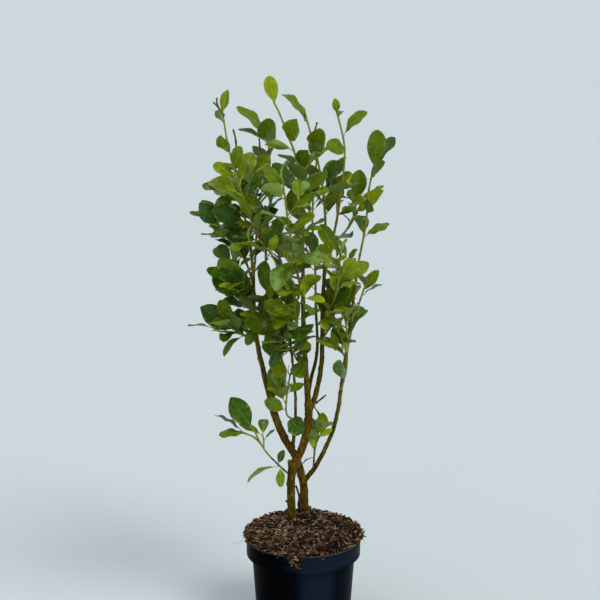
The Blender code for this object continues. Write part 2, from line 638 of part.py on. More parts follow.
def build_limbs(space):
    """Make each limb, cut clear of the limbs that it meets, and return their shoots."""
    shoots = {}
    for limb in LIMBS:
        route = [Vector(point) for point in limb.route]
        first_heading = None
        if limb.joins == "ground":
            first_heading = Vector((0, 0, 1))
        if limb.joins == "tip":
            parent = shoots[limb.parent]
            first_heading = parent.heading(len(parent.centres) - 1)
            route[0] = parent.centres[-1] + first_heading * CLEARANCE
        flare = ROOT_FLARE if limb.joins == "ground" else 0.0
        shoot = Shoot(route, limb.foot_radius, limb.tip_radius, LIMB_SPACING,
                      first_heading, flare)
        greenish = limb.name in ("front_stem", "right_bough", "slender_bough")
        colour = GREEN_BARK_COLOUR if greenish else BARK_COLOUR
        material = plain_material(limb.name + "_bark", colour, 0.7)
        piece = add_object(limb.name, shoot.mesh_data(LIMB_SIDES), material)
        if limb.name == "front_stem":
            add_sawn_stub(piece, shoot)
        for name, other in shoots.items():
            if not (limb.joins == "tip" and limb.parent == name):
                cut_clear(piece, shoot, other)
        piece.data.shade_smooth()
        piece.data.set_sharp_from_angle(angle=LIMB_SHARP_ANGLE)
        shoots[limb.name] = shoot
        space.add(limb.name, shoot.mesh_data(LIMB_SIDES))
    return shoots


def add_sawn_stub(piece, shoot):
    """Join the sawn stub of the old leader, which rises where the front stem bends away."""
    root = shoot.at(shoot.nearest(Vector((shoot.centres[0].x, 0, SAWN_STUB_HEIGHT))))[0]
    heading = Vector(SAWN_STUB_HEADING).normalized()
    stub = Shoot((root, root + heading * SAWN_STUB_LENGTH), SAWN_STUB_RADIUS,
                 SAWN_STUB_RADIUS, SAWN_STUB_LENGTH / 2)
    join_collection(piece, [stub.mesh_data(LIMB_SIDES)])


def cut_clear(piece, shoot, other):
    """Cut a limb's foot to fit round another limb, a hair clear of it."""
    room = other.mesh_data(LIMB_SIDES, CLEARANCE / math.cos(math.pi / LIMB_SIDES))
    tree = BVHTree.FromPolygons(*room)
    if not tree.overlap(BVHTree.FromPolygons(*shoot.mesh_data(LIMB_SIDES))):
        return
    cutter = add_object("foot_cutter", room)
    cutter.hide_render = True
    cutter.display_type = "WIRE"
    cut = piece.modifiers.new("fit round limb", "BOOLEAN")
    cut.operation = "DIFFERENCE"
    cut.object = cutter
    apply_modifiers(piece)
    bpy.data.objects.remove(cutter, do_unlink=True)
    keep_largest_body(piece)


def join_collection(piece, shapes):
    """Join closed shapes onto a piece by one Boolean union on a collection."""
    group = bpy.data.collections.new(piece.name + "_shapes")
    bpy.context.scene.collection.children.link(group)
    for shape in shapes:
        member = add_object("shape", shape)
        bpy.context.scene.collection.objects.unlink(member)
        group.objects.link(member)
    union = piece.modifiers.new("join", "BOOLEAN")
    union.operation = "UNION"
    union.operand_type = "COLLECTION"
    union.collection = group
    apply_modifiers(piece)
    for member in list(group.objects):
        bpy.data.objects.remove(member, do_unlink=True)
    bpy.data.collections.remove(group)
    keep_largest_body(piece)


class Growth:
    """One mass of foliage: its stem, the twigs on it and the leaves on them all."""

    def __init__(self, mass, limb, space):
        self.mass = mass
        self.space = space
        self.rng = random.Random(mass.seed)
        self.twigs = []
        self.leaves = []
        route = [Vector(point) for point in mass.route]
        limb_distance = limb.nearest(route[0])
        at_tip = limb_distance > limb.length - TWIG_SPACING / 3
        if at_tip:
            heading = limb.heading(len(limb.centres) - 1)
            route[0] = limb.centres[-1] + heading * CLEARANCE
            self.stem = Shoot(route, mass.foot_radius, TWIG_TIP_RADIUS, TWIG_SPACING, heading)
            self.foot_plane = None
        else:
            centre, heading = limb.at(limb_distance)
            out = square_to(heading, route[1] - centre)
            skin = limb.radius(limb_distance) + CLEARANCE
            route[0] = centre + out * skin
            self.stem = Shoot(route, mass.foot_radius, TWIG_TIP_RADIUS, TWIG_SPACING)
            self.foot_plane = (route[0], out)
        if space.touches(self.stem.mesh_data(TWIG_SIDES, CLEARANCE, start=1)):
            raise ValueError(mass.name + " starts where something else stands")
        space.add(mass.name, self.stem.mesh_data(TWIG_SIDES))

    def grow_to_reaches(self):
        """Bring a leaf, on a twig of its own where it is far, to each reach."""
        for *tip, to_front in self.mass.reaches:
            target = Vector(tip)
            shoots = [self.stem] + self.twigs
            roots = [shoot.at(shoot.foot_for(target))[0] for shoot in shoots]
            root = min(roots, key=lambda point: (target - point).length)
            if (target - root).length > LONGEST_LEAF_REACH:
                twig = self.grow_twig(target)
                if not twig:
                    continue
                root = twig.centres[-1]
            self.add_outline_leaf(root, target, to_front)

    def grow_twig(self, target):
        """Grow a twig from the stem that stops an outline leaf's reach short of target."""
        root, heading = self.stem.at(self.stem.foot_for(target))
        run = (target - root).normalized()
        end = target - run * OUTLINE_LEAF_REACH
        middle = root.lerp(end, 0.5) + (heading - run) * TWIG_BOW
        twig = Shoot((root, middle, end), SIDE_TWIG_RADIUS, TWIG_TIP_RADIUS, TWIG_SPACING)
        if self.space.touches(twig.mesh_data(TWIG_SIDES, CLEARANCE), (self.mass.name,)):
            return None
        self.twigs.append(twig)
        self.space.add(self.mass.name, twig.mesh_data(TWIG_SIDES))
        return twig

    def add_outline_leaf(self, root, target, to_front):
        """Add the leaf of a reach, and turn it otherwise until it has room."""
        for attempt in range(LEAF_TRIES):
            face = lit_face(root, self.rng, OUTLINE_SCATTER + RETRY_SCATTER * attempt)
            face += Vector(TURNED_TO_FRONT) * to_front * (1 - attempt / LEAF_TRIES)
            length = (target - root).length * (1 - STALK_SHARE)
            if self.place(Leaf(root, target, face, length * self.rng.uniform(*LEAF_ASPECTS))):
                return

    def place(self, leaf):
        """Keep a leaf if it is clear of every other limb, twig and leaf."""
        name = self.mass.name
        if self.space.touches(leaf_mesh(leaf, LEAF_MARGIN), (name,)):
            return False
        if self.space.touches(leaf_mesh(leaf, LEAF_MARGIN, blade_only=True)):
            return False
        self.leaves.append(leaf)
        self.space.add(name, leaf_mesh(leaf))
        return True

    def grow_leaves(self):
        """Set leaves in a spiral up the stem and the twigs, at most two at a place."""
        nodes = []
        for shoot in [self.stem] + self.twigs:
            start, end = self.mass.leafy if shoot is self.stem else TWIG_LEAFY
            count = max(1, int((end - start) * shoot.length / INTERNODE))
            turn = self.rng.uniform(0, 2 * math.pi)
            for index in range(count + 1):
                share = start + (end - start) * index / count
                distance = min(share * shoot.length, shoot.length - SIDE_TWIG_RADIUS)
                nodes.append((shoot, distance, turn + index * LEAF_TURN))
        self.rng.shuffle(nodes)
        nodes.sort(key=lambda node: node[1] < node[0].length - INTERNODE / 2)
        for shoot, distance, turn in nodes * 2:
            if len(self.leaves) >= self.mass.leaves:
                break
            self.grow_leaf(shoot, distance, turn)

    def grow_leaf(self, shoot, distance, turn):
        for attempt in range(LEAF_TRIES):
            root, heading = shoot.at(distance)
            side = square_to(heading, Vector((1, 0, 0)))
            angle = turn + self.rng.uniform(-LEAF_TURN_SCATTER, LEAF_TURN_SCATTER)
            angle += attempt * RETRY_TURN
            out = side * math.cos(angle) + heading.cross(side) * math.sin(angle)
            spread = self.rng.uniform(*LEAF_SPREADS)
            direction = heading * math.cos(spread) + out * math.sin(spread)
            length = self.rng.uniform(*LEAF_LENGTHS) * (1 - RETRY_SHRINK * attempt)
            tip = root + direction * length / (1 - STALK_SHARE)
            if not inside_crown(tip):
                continue
            face = lit_face(root, self.rng)
            if self.place(Leaf(root, tip, face, length * self.rng.uniform(*LEAF_ASPECTS))):
                return

    def build(self, tint):
        colour = [dark + (bright - dark) * tint for dark, bright in zip(LEAF_DARK, LEAF_BRIGHT)]
        material = plain_material(self.mass.name + "_leaves", (*colour, 1.0), 0.38)
        stem = self.stem.mesh_data(TWIG_SIDES, foot_plane=self.foot_plane)
        piece = add_object(self.mass.name, stem, material)
        shapes = [twig.mesh_data(TWIG_SIDES) for twig in self.twigs]
        shapes += [leaf_mesh(leaf) for leaf in self.leaves]
        join_collection(piece, shapes)
        return piece


def build_pot():
    material = plain_material("black_pot_plastic", POT_COLOUR, 0.35)
    piece = add_object("pot", pot_solid(), material)
    piece.data.shade_smooth()
    piece.data.set_sharp_from_angle(angle=POT_SHARP_ANGLE)
    mix = add_object("potting_mix", mix_solid(), plain_material("bark_potting_mix", MIX_COLOUR, 0.95))
    for made in (piece, mix):
        keep_largest_body(made)


def main():
    clear_scene()
    space = Space()
    build_pot()
    shoots = build_limbs(space)
    growths = [Growth(mass, shoots[mass.limb], space) for mass in MASSES]
    for growth in growths:
        growth.grow_to_reaches()
    for growth in growths:
        growth.grow_leaves()
    for index, growth in enumerate(growths):
        growth.build((index * TINT_STEP) % 1.0)


main()
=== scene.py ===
"""Looks of a New Zealand broadleaf in its nursery pot, laid out as a Blender add-on.

Lengths are metres, unless a name says millimetres. The origin is the middle of the pot's
underside, Z is up and the front of the plant faces -Y. Limbs, twigs and leaves follow the
growth rule of the part's solids, and go on from there to finer twigs, smaller leaves and buds.
"""

import functools
import json
import math
import random
from collections import namedtuple

import bpy
from bpy.props import FloatProperty, FloatVectorProperty, IntProperty, PointerProperty
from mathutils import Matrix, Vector, noise
from mathutils.bvhtree import BVHTree
from mathutils.geometry import intersect_point_line

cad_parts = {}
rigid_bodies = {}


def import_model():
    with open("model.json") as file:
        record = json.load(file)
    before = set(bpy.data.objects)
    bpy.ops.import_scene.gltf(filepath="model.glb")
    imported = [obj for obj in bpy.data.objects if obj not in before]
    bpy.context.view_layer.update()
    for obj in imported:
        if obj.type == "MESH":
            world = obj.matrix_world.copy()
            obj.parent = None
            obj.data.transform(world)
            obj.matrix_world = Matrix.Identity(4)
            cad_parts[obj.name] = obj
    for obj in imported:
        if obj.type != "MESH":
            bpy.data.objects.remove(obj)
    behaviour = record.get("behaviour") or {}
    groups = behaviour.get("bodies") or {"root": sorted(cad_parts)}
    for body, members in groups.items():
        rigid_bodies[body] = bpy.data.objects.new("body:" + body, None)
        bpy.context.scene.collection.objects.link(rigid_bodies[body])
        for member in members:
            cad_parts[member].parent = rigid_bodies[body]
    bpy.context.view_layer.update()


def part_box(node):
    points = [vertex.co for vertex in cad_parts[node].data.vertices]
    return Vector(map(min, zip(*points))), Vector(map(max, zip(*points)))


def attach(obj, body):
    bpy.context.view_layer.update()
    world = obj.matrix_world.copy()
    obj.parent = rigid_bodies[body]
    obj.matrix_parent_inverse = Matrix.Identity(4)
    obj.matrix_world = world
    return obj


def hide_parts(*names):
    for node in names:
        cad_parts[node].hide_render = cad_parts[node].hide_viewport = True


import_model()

bl_info = {
    "name": "Potted broadleaf shrub",
    "version": (1, 0, 0),
    "blender": (4, 5, 0),
    "location": "3D View > Sidebar > Broadleaf",
    "description": "Builds an upright broadleaf shrub in a round nursery pot",
    "category": "Add Mesh",
}

MM = 0.001
POT_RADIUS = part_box("pot")[1].x
POT_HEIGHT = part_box("pot")[1].z

# The growth rule's own sizes, as in the solids.
CLEARANCE = 0.0003
GROUND = 0.152
LIMB_SIDES = 8
LIMB_SPACING = 0.021
ROUTE_STEPS = 12
ROOT_FLARE = 0.0022
ROOT_FLARE_HEIGHT = 0.012
TWIG_SIDES = 3
TWIG_SPACING = 0.019
TWIG_TIP_RADIUS = 0.0012
SIDE_TWIG_RADIUS = 0.0014
LEAF_LENGTHS = (0.036, 0.055)
LEAF_ASPECTS = (0.46, 0.62)
STALK_SHARE = 0.17
STALK_RADIUS = 0.0008
STALK_ROOT_RADIUS = 0.00045
LEAF_KEEL = 0.0011
LEAF_ARCH = 0.08
BLADE_OUTLINE = ((0.0, 0.09), (0.24, 0.80), (0.52, 1.0), (0.82, 0.66))
LEAF_MARGIN = 0.0005
LEAF_TRIES = 9
INTERNODE = 0.0135
LEAF_TURN = math.radians(137.5)
LEAF_TURN_SCATTER = 0.5
LEAF_SPREADS = (math.radians(34), math.radians(64))
RETRY_TURN = 0.9
RETRY_SHRINK = 0.04
LIGHT = (-0.10, -0.28, 1.0)
OUTWARD_LEAN = 0.25
FACE_SCATTER = 0.45
OUTLINE_SCATTER = 0.12
RETRY_SCATTER = 0.1
TURNED_TO_FRONT = (0.0, -2.2, 0.0)
LONGEST_LEAF_REACH = 0.070
OUTLINE_LEAF_REACH = 0.048
TWIG_LEAD = 0.65
TWIG_BOW = 0.006
TWIG_LEAFY = (0.25, 0.75)

# Height, then the crown's reach to the left, to the right and to front and back.
CROWN = (
    (0.205, 0.085, 0.030, 0.050),
    (0.300, 0.122, 0.052, 0.085),
    (0.360, 0.100, 0.070, 0.105),
    (0.450, 0.150, 0.088, 0.125),
    (0.600, 0.150, 0.115, 0.130),
    (0.700, 0.125, 0.122, 0.120),
    (0.745, 0.112, 0.092, 0.085),
    (0.800, 0.060, 0.040, 0.040),
)

Limb = namedtuple("Limb", "name parent joins foot_radius tip_radius route")
Mass = namedtuple("Mass", "name limb foot_radius leaves leafy seed route reaches")
Leaf = namedtuple("Leaf", "root tip face width tone")

# Tones of a leaf's upper side, the last glossier with painted highlight patches, and then
# what is painted on its underside and its midrib.
YOUNG, FRESH, GREEN, DEEP, BLUISH, GLOSS_AND_PAINTED_SHEEN = range(6)
UNDERSIDE, PALE_UNDERSIDE, MIDRIB, PALE_MIDRIB = range(6, 10)
# In place of a tone, where a leaf's age gives it.
BY_AGE = None

# A limb joins its parent's tip or its side; a stem stands on the potting mix.
LIMBS = (
    Limb("front_stem", None, "ground", 0.0058, 0.0056, (
        (-0.016, 0.002, GROUND), (-0.018, 0.001, 0.195), (-0.016, 0.000, 0.231),
        (-0.001, -0.004, 0.268), (0.007, -0.002, 0.306), (0.007, 0.000, 0.329))),
    Limb("back_stem", None, "ground", 0.0060, 0.0052, (
        (0.001, 0.045, GROUND), (0.000, 0.042, 0.195), (-0.011, 0.034, 0.238),
        (-0.028, 0.027, 0.271), (-0.042, 0.022, 0.308), (-0.047, 0.022, 0.330))),
    Limb("centre_bough", "front_stem", "tip", 0.0043, 0.0024, (
        (0.007, 0.000, 0.330), (0.004, 0.000, 0.373), (0.000, -0.004, 0.448),
        (-0.001, -0.006, 0.553))),
    Limb("right_centre_bough", "front_stem", "side", 0.0038, 0.0023, (
        (0.007, 0.000, 0.316), (0.017, 0.005, 0.341), (0.026, 0.010, 0.390),
        (0.027, 0.012, 0.470), (0.031, 0.010, 0.546))),
    Limb("inner_bough", "centre_bough", "side", 0.0027, 0.0018, (
        (0.006, 0.000, 0.341), (0.011, 0.017, 0.363), (0.020, 0.040, 0.400),
        (0.018, 0.062, 0.462))),
    Limb("left_bough", "back_stem", "tip", 0.0042, 0.0024, (
        (-0.047, 0.022, 0.331), (-0.057, 0.020, 0.370), (-0.069, 0.008, 0.440),
        (-0.071, 0.000, 0.523))),
    Limb("left_inner_bough", "back_stem", "side", 0.0034, 0.0020, (
        (-0.046, 0.022, 0.319), (-0.043, 0.033, 0.350), (-0.046, 0.048, 0.400),
        (-0.055, 0.070, 0.498))),
    Limb("slender_bough", "back_stem", "side", 0.0022, 0.0015, (
        (-0.016, 0.031, 0.256), (-0.012, 0.022, 0.292), (-0.012, 0.000, 0.350),
        (-0.018, -0.028, 0.424), (-0.028, -0.050, 0.518))),
    Limb("right_bough", "back_stem", "side", 0.0034, 0.0026, (
        (0.000, 0.041, 0.199), (0.020, 0.044, 0.225), (0.046, 0.036, 0.289),
        (0.059, 0.028, 0.379))),
    Limb("far_right_bough", "right_bough", "tip", 0.0023, 0.0017, (
        (0.059, 0.028, 0.380), (0.066, 0.017, 0.440), (0.077, 0.000, 0.536))),
)

# A mass has leaves between two shares of its stem's length. Its route starts on the limb.
# A reach is the tip of a leaf that the crown's outline needs, then how far that leaf's
# upper side turns to the front, and its tone.
MASSES = (
    Mass("foliage_top", "centre_bough", 0.0022, 14, (0.10, 0.55), 21,
         ((-0.001, -0.006, 0.553), (-0.001, -0.013, 0.620), (-0.010, -0.019, 0.685),
          (-0.031, -0.020, 0.743), (-0.040, -0.020, 0.762)),
         ((-0.048, -0.020, 0.799, 1.0, YOUNG), (-0.009, -0.064, 0.745, 0.8, FRESH),
          (-0.053, -0.028, 0.706, 0.1, GREEN), (0.034, -0.018, 0.667, 0.3, GREEN),
          (0.006, -0.054, 0.702, 0.8, GREEN))),
    Mass("foliage_top_right", "right_centre_bough", 0.0020, 9, (0.12, 0.56), 22,
         ((0.031, 0.010, 0.546), (0.030, 0.015, 0.610), (0.022, 0.019, 0.668), (0.003, 0.020, 0.742)),
         ((-0.031, 0.012, 0.772, 0.05, GREEN), (0.025, -0.032, 0.728, 0.8, FRESH),
          (0.029, 0.000, 0.553, 0.9, FRESH), (0.067, 0.000, 0.664, 0.3, FRESH),
          (0.020, 0.055, 0.700, 0.0, GREEN))),
    Mass("foliage_right_shoot", "right_centre_bough", 0.0019, 8, (0.15, 0.50), 23,
         ((0.030, 0.010, 0.531), (0.044, -0.002, 0.585), (0.051, -0.012, 0.635),
          (0.056, -0.028, 0.700), (0.044, -0.036, 0.755)),
         ((0.086, -0.030, 0.752, 0.05, GREEN), (0.030, -0.070, 0.712, 0.9, GREEN),
          (0.073, -0.008, 0.616, 0.3, GREEN), (0.041, -0.048, 0.771, 0.5, FRESH),
          (0.050, -0.056, 0.754, 0.2, FRESH))),
    Mass("foliage_curved_shoot", "right_centre_bough", 0.0017, 5, (0.30, 0.97), 24,
         ((0.029, 0.011, 0.517), (0.043, 0.026, 0.556), (0.066, 0.043, 0.582), (0.082, 0.054, 0.612)),
         ((0.080, 0.034, 0.664, 1.0, GREEN), (0.065, 0.058, 0.632, 0.1, GREEN),
          (0.066, 0.070, 0.628, 0.0, DEEP))),
    Mass("foliage_far_right", "far_right_bough", 0.0016, 7, (0.24, 0.46), 25,
         ((0.077, 0.000, 0.536), (0.087, 0.000, 0.590), (0.091, 0.000, 0.640), (0.100, 0.000, 0.682)),
         ((0.102, -0.022, 0.726, 0.9, GREEN), (0.127, 0.014, 0.712, -0.14, BLUISH),
          (0.111, -0.012, 0.646, 0.1, FRESH), (0.121, 0.004, 0.591, 0.1, GREEN),
          (0.111, -0.040, 0.684, 0.6, GREEN))),
    Mass("foliage_right_spray", "right_bough", 0.0016, 8, (0.22, 1.00), 26,
         ((0.059, 0.029, 0.370), (0.069, 0.041, 0.425), (0.080, 0.048, 0.465), (0.088, 0.050, 0.490)),
         ((0.109, 0.050, 0.516, 0.1, FRESH), (0.114, 0.052, 0.495, -0.2, GREEN),
          (0.054, 0.044, 0.457, 0.3, GREEN), (0.085, 0.085, 0.455, 0.0, DEEP))),
    Mass("foliage_left_crown", "slender_bough", 0.0014, 22, (0.14, 0.58), 27,
         ((-0.028, -0.050, 0.518), (-0.042, -0.058, 0.556), (-0.063, -0.056, 0.585),
          (-0.084, -0.044, 0.640), (-0.102, -0.032, 0.700), (-0.111, -0.027, 0.755)),
         ((-0.103, -0.024, 0.781, 0.6, FRESH), (-0.113, -0.060, 0.757, 0.6, FRESH),
          (-0.122, -0.066, 0.683, 0.3, FRESH), (-0.111, -0.072, 0.724, 0.6, FRESH),
          (-0.083, -0.070, 0.708, 0.8, FRESH), (-0.140, -0.030, 0.650, -0.08, GREEN),
          (-0.036, -0.062, 0.587, 1.0, YOUNG))),
    Mass("foliage_left", "left_bough", 0.0022, 19, (0.12, 1.00), 28,
         ((-0.071, 0.000, 0.523), (-0.076, 0.004, 0.570), (-0.085, 0.008, 0.608),
          (-0.096, 0.010, 0.634)),
         ((-0.126, -0.040, 0.619, 1.0, BLUISH), (-0.104, -0.012, 0.618, 0.4, GREEN),
          (-0.118, 0.040, 0.600, 0.0, BLUISH))),
    Mass("foliage_left_shoulder", "left_bough", 0.0016, 13, (0.30, 1.00), 29,
         ((-0.071, 0.000, 0.508), (-0.083, 0.004, 0.540), (-0.104, 0.010, 0.567),
          (-0.121, 0.014, 0.584)),
         ((-0.160, 0.004, 0.608, 0.0, GREEN), (-0.144, -0.030, 0.626, 1.0, BLUISH),
          (-0.132, 0.040, 0.570, 0.0, DEEP))),
    Mass("foliage_left_side", "left_bough", 0.0016, 14, (0.30, 1.00), 30,
         ((-0.070, 0.005, 0.461), (-0.075, -0.014, 0.488), (-0.084, -0.029, 0.513)),
         ((-0.119, -0.018, 0.545, 0.3, GREEN), (-0.103, -0.036, 0.533, 0.9, BLUISH),
          (-0.128, -0.022, 0.519, 0.6, DEEP))),
    Mass("foliage_left_low", "left_bough", 0.0016, 15, (0.30, 1.00), 31,
         ((-0.067, 0.011, 0.420), (-0.083, 0.006, 0.429), (-0.103, -0.002, 0.443)),
         ((-0.113, -0.008, 0.402, 0.0, GREEN), (-0.147, 0.004, 0.472, 0.8, BLUISH),
          (-0.129, -0.014, 0.457, 0.5, FRESH), (-0.165, -0.004, 0.446, -0.22, DEEP))),
    Mass("foliage_left_back", "left_inner_bough", 0.0018, 14, (0.12, 0.76), 32,
         ((-0.055, 0.070, 0.498), (-0.054, 0.070, 0.557), (-0.048, 0.066, 0.616),
          (-0.049, 0.054, 0.689), (-0.056, 0.048, 0.721)),
         ((-0.095, 0.045, 0.751, 0.03, GREEN), (-0.046, 0.004, 0.739, 0.8, FRESH),
          (-0.093, 0.045, 0.719, 0.1, GREEN), (-0.080, 0.095, 0.600, 0.0, DEEP),
          (-0.035, 0.100, 0.640, 0.0, DEEP))),
    Mass("foliage_back", "inner_bough", 0.0017, 11, (0.10, 1.00), 33,
         ((0.018, 0.062, 0.462), (0.017, 0.074, 0.520), (0.013, 0.086, 0.590), (0.019, 0.086, 0.672)),
         ((0.000, 0.122, 0.560, 0.0, DEEP), (0.050, 0.105, 0.620, 0.0, DEEP),
          (0.020, 0.070, 0.705, 0.0, GREEN))),
    Mass("foliage_front", "centre_bough", 0.0018, 13, (0.22, 0.86), 34,
         ((-0.002, -0.005, 0.490), (-0.008, -0.032, 0.525), (-0.018, -0.066, 0.583),
          (-0.028, -0.080, 0.662)),
         ((-0.010, -0.118, 0.560, 0.2, FRESH), (0.015, -0.105, 0.620, 0.2, FRESH),
          (-0.053, -0.088, 0.684, 0.5, GREEN))),
    Mass("foliage_low_left", "front_stem", 0.0014, 6, (0.22, 1.00), 35,
         ((-0.017, 0.000, 0.222), (-0.034, -0.005, 0.238), (-0.056, -0.014, 0.266),
          (-0.073, -0.020, 0.302)),
         ((-0.104, -0.024, 0.347, 1.0, DEEP), (-0.127, -0.012, 0.317, -0.1, BLUISH),
          (-0.121, -0.022, 0.290, 0.0, GREEN), (-0.028, -0.012, 0.265, 0.6, BLUISH),
          (-0.082, 0.010, 0.209, -0.22, FRESH), (-0.032, -0.032, 0.216, 1.0, FRESH))),
    Mass("foliage_low_right", "right_bough", 0.0013, 9, (0.35, 1.00), 36,
         ((0.014, 0.043, 0.219), (0.016, 0.036, 0.242), (0.019, 0.028, 0.262), (0.026, 0.024, 0.280)),
         ((0.007, 0.016, 0.271, 1.0, YOUNG), (0.028, 0.020, 0.280, 1.0, YOUNG),
          (0.028, 0.016, 0.313, 0.2, FRESH), (0.042, 0.030, 0.283, 0.4, YOUNG),
          (-0.001, 0.034, 0.229, -0.2, GREEN))),
    Mass("foliage_right_low", "right_bough", 0.0014, 12, (0.40, 1.00), 37,
         ((0.056, 0.031, 0.345), (0.062, 0.014, 0.380), (0.062, -0.002, 0.430),
          (0.058, -0.010, 0.462)),
         ((0.041, -0.035, 0.391, 1.0, DEEP), (0.067, -0.012, 0.460, 1.0, FRESH),
          (0.053, -0.024, 0.420, 1.0, YOUNG))),
    Mass("foliage_centre_low", "centre_bough", 0.0015, 14, (0.28, 1.00), 38,
         ((0.003, -0.001, 0.385), (-0.010, -0.020, 0.402), (-0.020, -0.044, 0.430)),
         ((-0.040, -0.050, 0.424, 0.8, BLUISH), (-0.002, -0.046, 0.407, 0.7, GREEN),
          (0.004, -0.078, 0.440, 0.2, GREEN))),
    Mass("foliage_front_right", "right_centre_bough", 0.0017, 9, (0.25, 1.00), 39,
         ((0.027, 0.012, 0.450), (0.039, -0.014, 0.476), (0.047, -0.044, 0.512),
          (0.050, -0.062, 0.560)),
         ((0.090, -0.045, 0.545, 0.6, FRESH), (0.061, -0.056, 0.525, 0.8, GREEN),
          (0.043, -0.062, 0.544, 0.8, GREEN), (0.045, -0.100, 0.535, 0.2, FRESH))),
    Mass("foliage_back_right", "inner_bough", 0.0015, 8, (0.28, 1.00), 40,
         ((0.020, 0.045, 0.412), (0.040, 0.060, 0.438), (0.057, 0.075, 0.478), (0.066, 0.082, 0.520)),
         ((0.078, 0.062, 0.526, 0.3, BY_AGE), (0.085, 0.100, 0.500, 0.0, BY_AGE),
          (0.062, 0.118, 0.500, 0.0, BY_AGE))),
    Mass("foliage_back_left", "left_inner_bough", 0.0015, 13, (0.28, 1.00), 41,
         ((-0.049, 0.055, 0.425), (-0.071, 0.066, 0.445), (-0.093, 0.070, 0.480),
          (-0.103, 0.070, 0.520)),
         ((-0.119, 0.045, 0.469, 0.3, BLUISH), (-0.120, 0.085, 0.530, 0.0, DEEP),
          (-0.100, 0.108, 0.505, 0.0, DEEP))),
    Mass("foliage_inner_left", "left_inner_bough", 0.0013, 10, (0.30, 1.00), 42,
         ((-0.044, 0.040, 0.372), (-0.030, 0.054, 0.392), (-0.022, 0.072, 0.420)),
         ((-0.040, 0.108, 0.430, 0.0, BY_AGE), (-0.004, 0.096, 0.395, 0.0, BY_AGE))),
    Mass("foliage_centre_front", "centre_bough", 0.0015, 13, (0.30, 1.00), 43,
         ((0.000, -0.003, 0.430), (-0.008, -0.026, 0.450), (-0.012, -0.054, 0.478),
          (-0.012, -0.066, 0.505)),
         ((-0.055, -0.058, 0.493, 0.9, FRESH), (-0.020, -0.070, 0.457, 1.0, GLOSS_AND_PAINTED_SHEEN),
          (-0.012, -0.102, 0.500, 0.2, GREEN))),
    Mass("foliage_centre_left", "left_bough", 0.0015, 15, (0.30, 1.00), 44,
         ((-0.069, 0.008, 0.436), (-0.056, -0.006, 0.456), (-0.046, -0.018, 0.488)),
         ((-0.081, -0.020, 0.422, 0.5, BY_AGE), (-0.028, 0.006, 0.519, 0.4, BY_AGE))),
    Mass("foliage_centre_right", "right_centre_bough", 0.0015, 10, (0.26, 1.00), 45,
         ((0.027, 0.012, 0.425), (0.039, 0.004, 0.446), (0.049, -0.008, 0.486)),
         ((0.041, -0.012, 0.474, 0.6, BY_AGE), (0.046, 0.000, 0.409, 0.1, BY_AGE))),
    Mass("foliage_slender_low", "slender_bough", 0.0012, 8, (0.30, 1.00), 46,
         ((-0.012, 0.016, 0.300), (-0.024, -0.004, 0.316), (-0.024, -0.014, 0.345),
          (-0.019, -0.022, 0.379)),
         ((-0.001, -0.050, 0.301, 1.0, DEEP), (-0.056, -0.022, 0.341, 0.6, GREEN),
          (-0.038, -0.022, 0.372, 0.9, GREEN), (0.001, -0.010, 0.363, 0.3, GREEN))),
    Mass("foliage_slender_mid", "slender_bough", 0.0012, 16, (0.25, 1.00), 47,
         ((-0.017, -0.024, 0.414), (-0.032, -0.030, 0.432), (-0.044, -0.036, 0.462)),
         ((-0.043, -0.050, 0.398, 0.5, BLUISH), (-0.084, -0.045, 0.464, 0.6, GREEN))),
    Mass("foliage_inner_back", "left_inner_bough", 0.0014, 11, (0.26, 1.00), 48,
         ((-0.051, 0.062, 0.455), (-0.036, 0.076, 0.480), (-0.020, 0.086, 0.520)),
         ((-0.030, 0.122, 0.500, 0.0, BY_AGE), (0.010, 0.110, 0.530, 0.0, BY_AGE))),
    Mass("foliage_upper_left", "left_bough", 0.0015, 10, (0.25, 0.86), 49,
         ((-0.071, 0.001, 0.512), (-0.067, 0.013, 0.560), (-0.068, 0.018, 0.616),
          (-0.076, 0.016, 0.662)),
         ((-0.049, 0.000, 0.691, 0.9, FRESH), (-0.072, 0.024, 0.679, 0.8, DEEP))),
)

# Sizes that the solids are too coarse to hold.
BURIED_FOOT = 0.010
LIMB_RING_SPACING = 0.0022
LIMB_SKIN_SIDES = 20
TWIG_RING_SPACING = 0.0035
TWIG_SKIN_SIDES = 8
SINK = 0.002
COLLAR = 0.0012
COLLAR_LENGTH = 0.009
SHARP_EDGE = math.radians(50)

# Finer growth than in the solids: young leaves at a shoot's tip, by their turns round it, and
# side shoots, each with small leaves by their places along it and their turns round it.
TIP_LEAF_LENGTHS = (0.014, 0.026)
TIP_LEAF_SPREADS = (math.radians(12), math.radians(34))
TIP_LEAF_TURNS = (0.3, 2.4)
TIP_LEAF_SPACING = 0.004
SIDE_SHOOT_RADIUS = 0.0010
SIDE_SHOOT_SHARES = (0.7, 1.3)
SIDE_SHOOT_RISE = 0.75
SIDE_SHOOT_SPREAD = 0.66
SIDE_SHOOT_BOW = 0.1
SIDE_SHOOT_LEAVES = ((0.97, 0.0), (0.97, 2.4), (0.55, 4.8))
SMALL_LEAF_LENGTHS = (0.019, 0.033)
# Masses that the photo shows open to the sky. They have no young leaves at the tips, and
# their side shoots stand further apart.
OPEN_MASSES = ("foliage_top", "foliage_top_right", "foliage_right_shoot", "foliage_curved_shoot",
               "foliage_far_right", "foliage_right_spray", "foliage_low_left",
               "foliage_low_right", "foliage_back", "foliage_left_back")
OPEN_SPACING = 2.2


def linear(hex_colour):
    """Linear RGB of an sRGB hex colour."""
    parts = [int(hex_colour[place:place + 2], 16) / 255 for place in (0, 2, 4)]
    return tuple(part / 12.92 if part <= 0.04045 else ((part + 0.055) / 1.055) ** 2.4 for part in parts)


def tint(name, description, hex_colour):
    """A colour that a user can change, with its default as sRGB hex."""
    return FloatVectorProperty(name=name, description=description, size=3, subtype="COLOR",
                               min=0.0, max=1.0, default=linear(hex_colour))


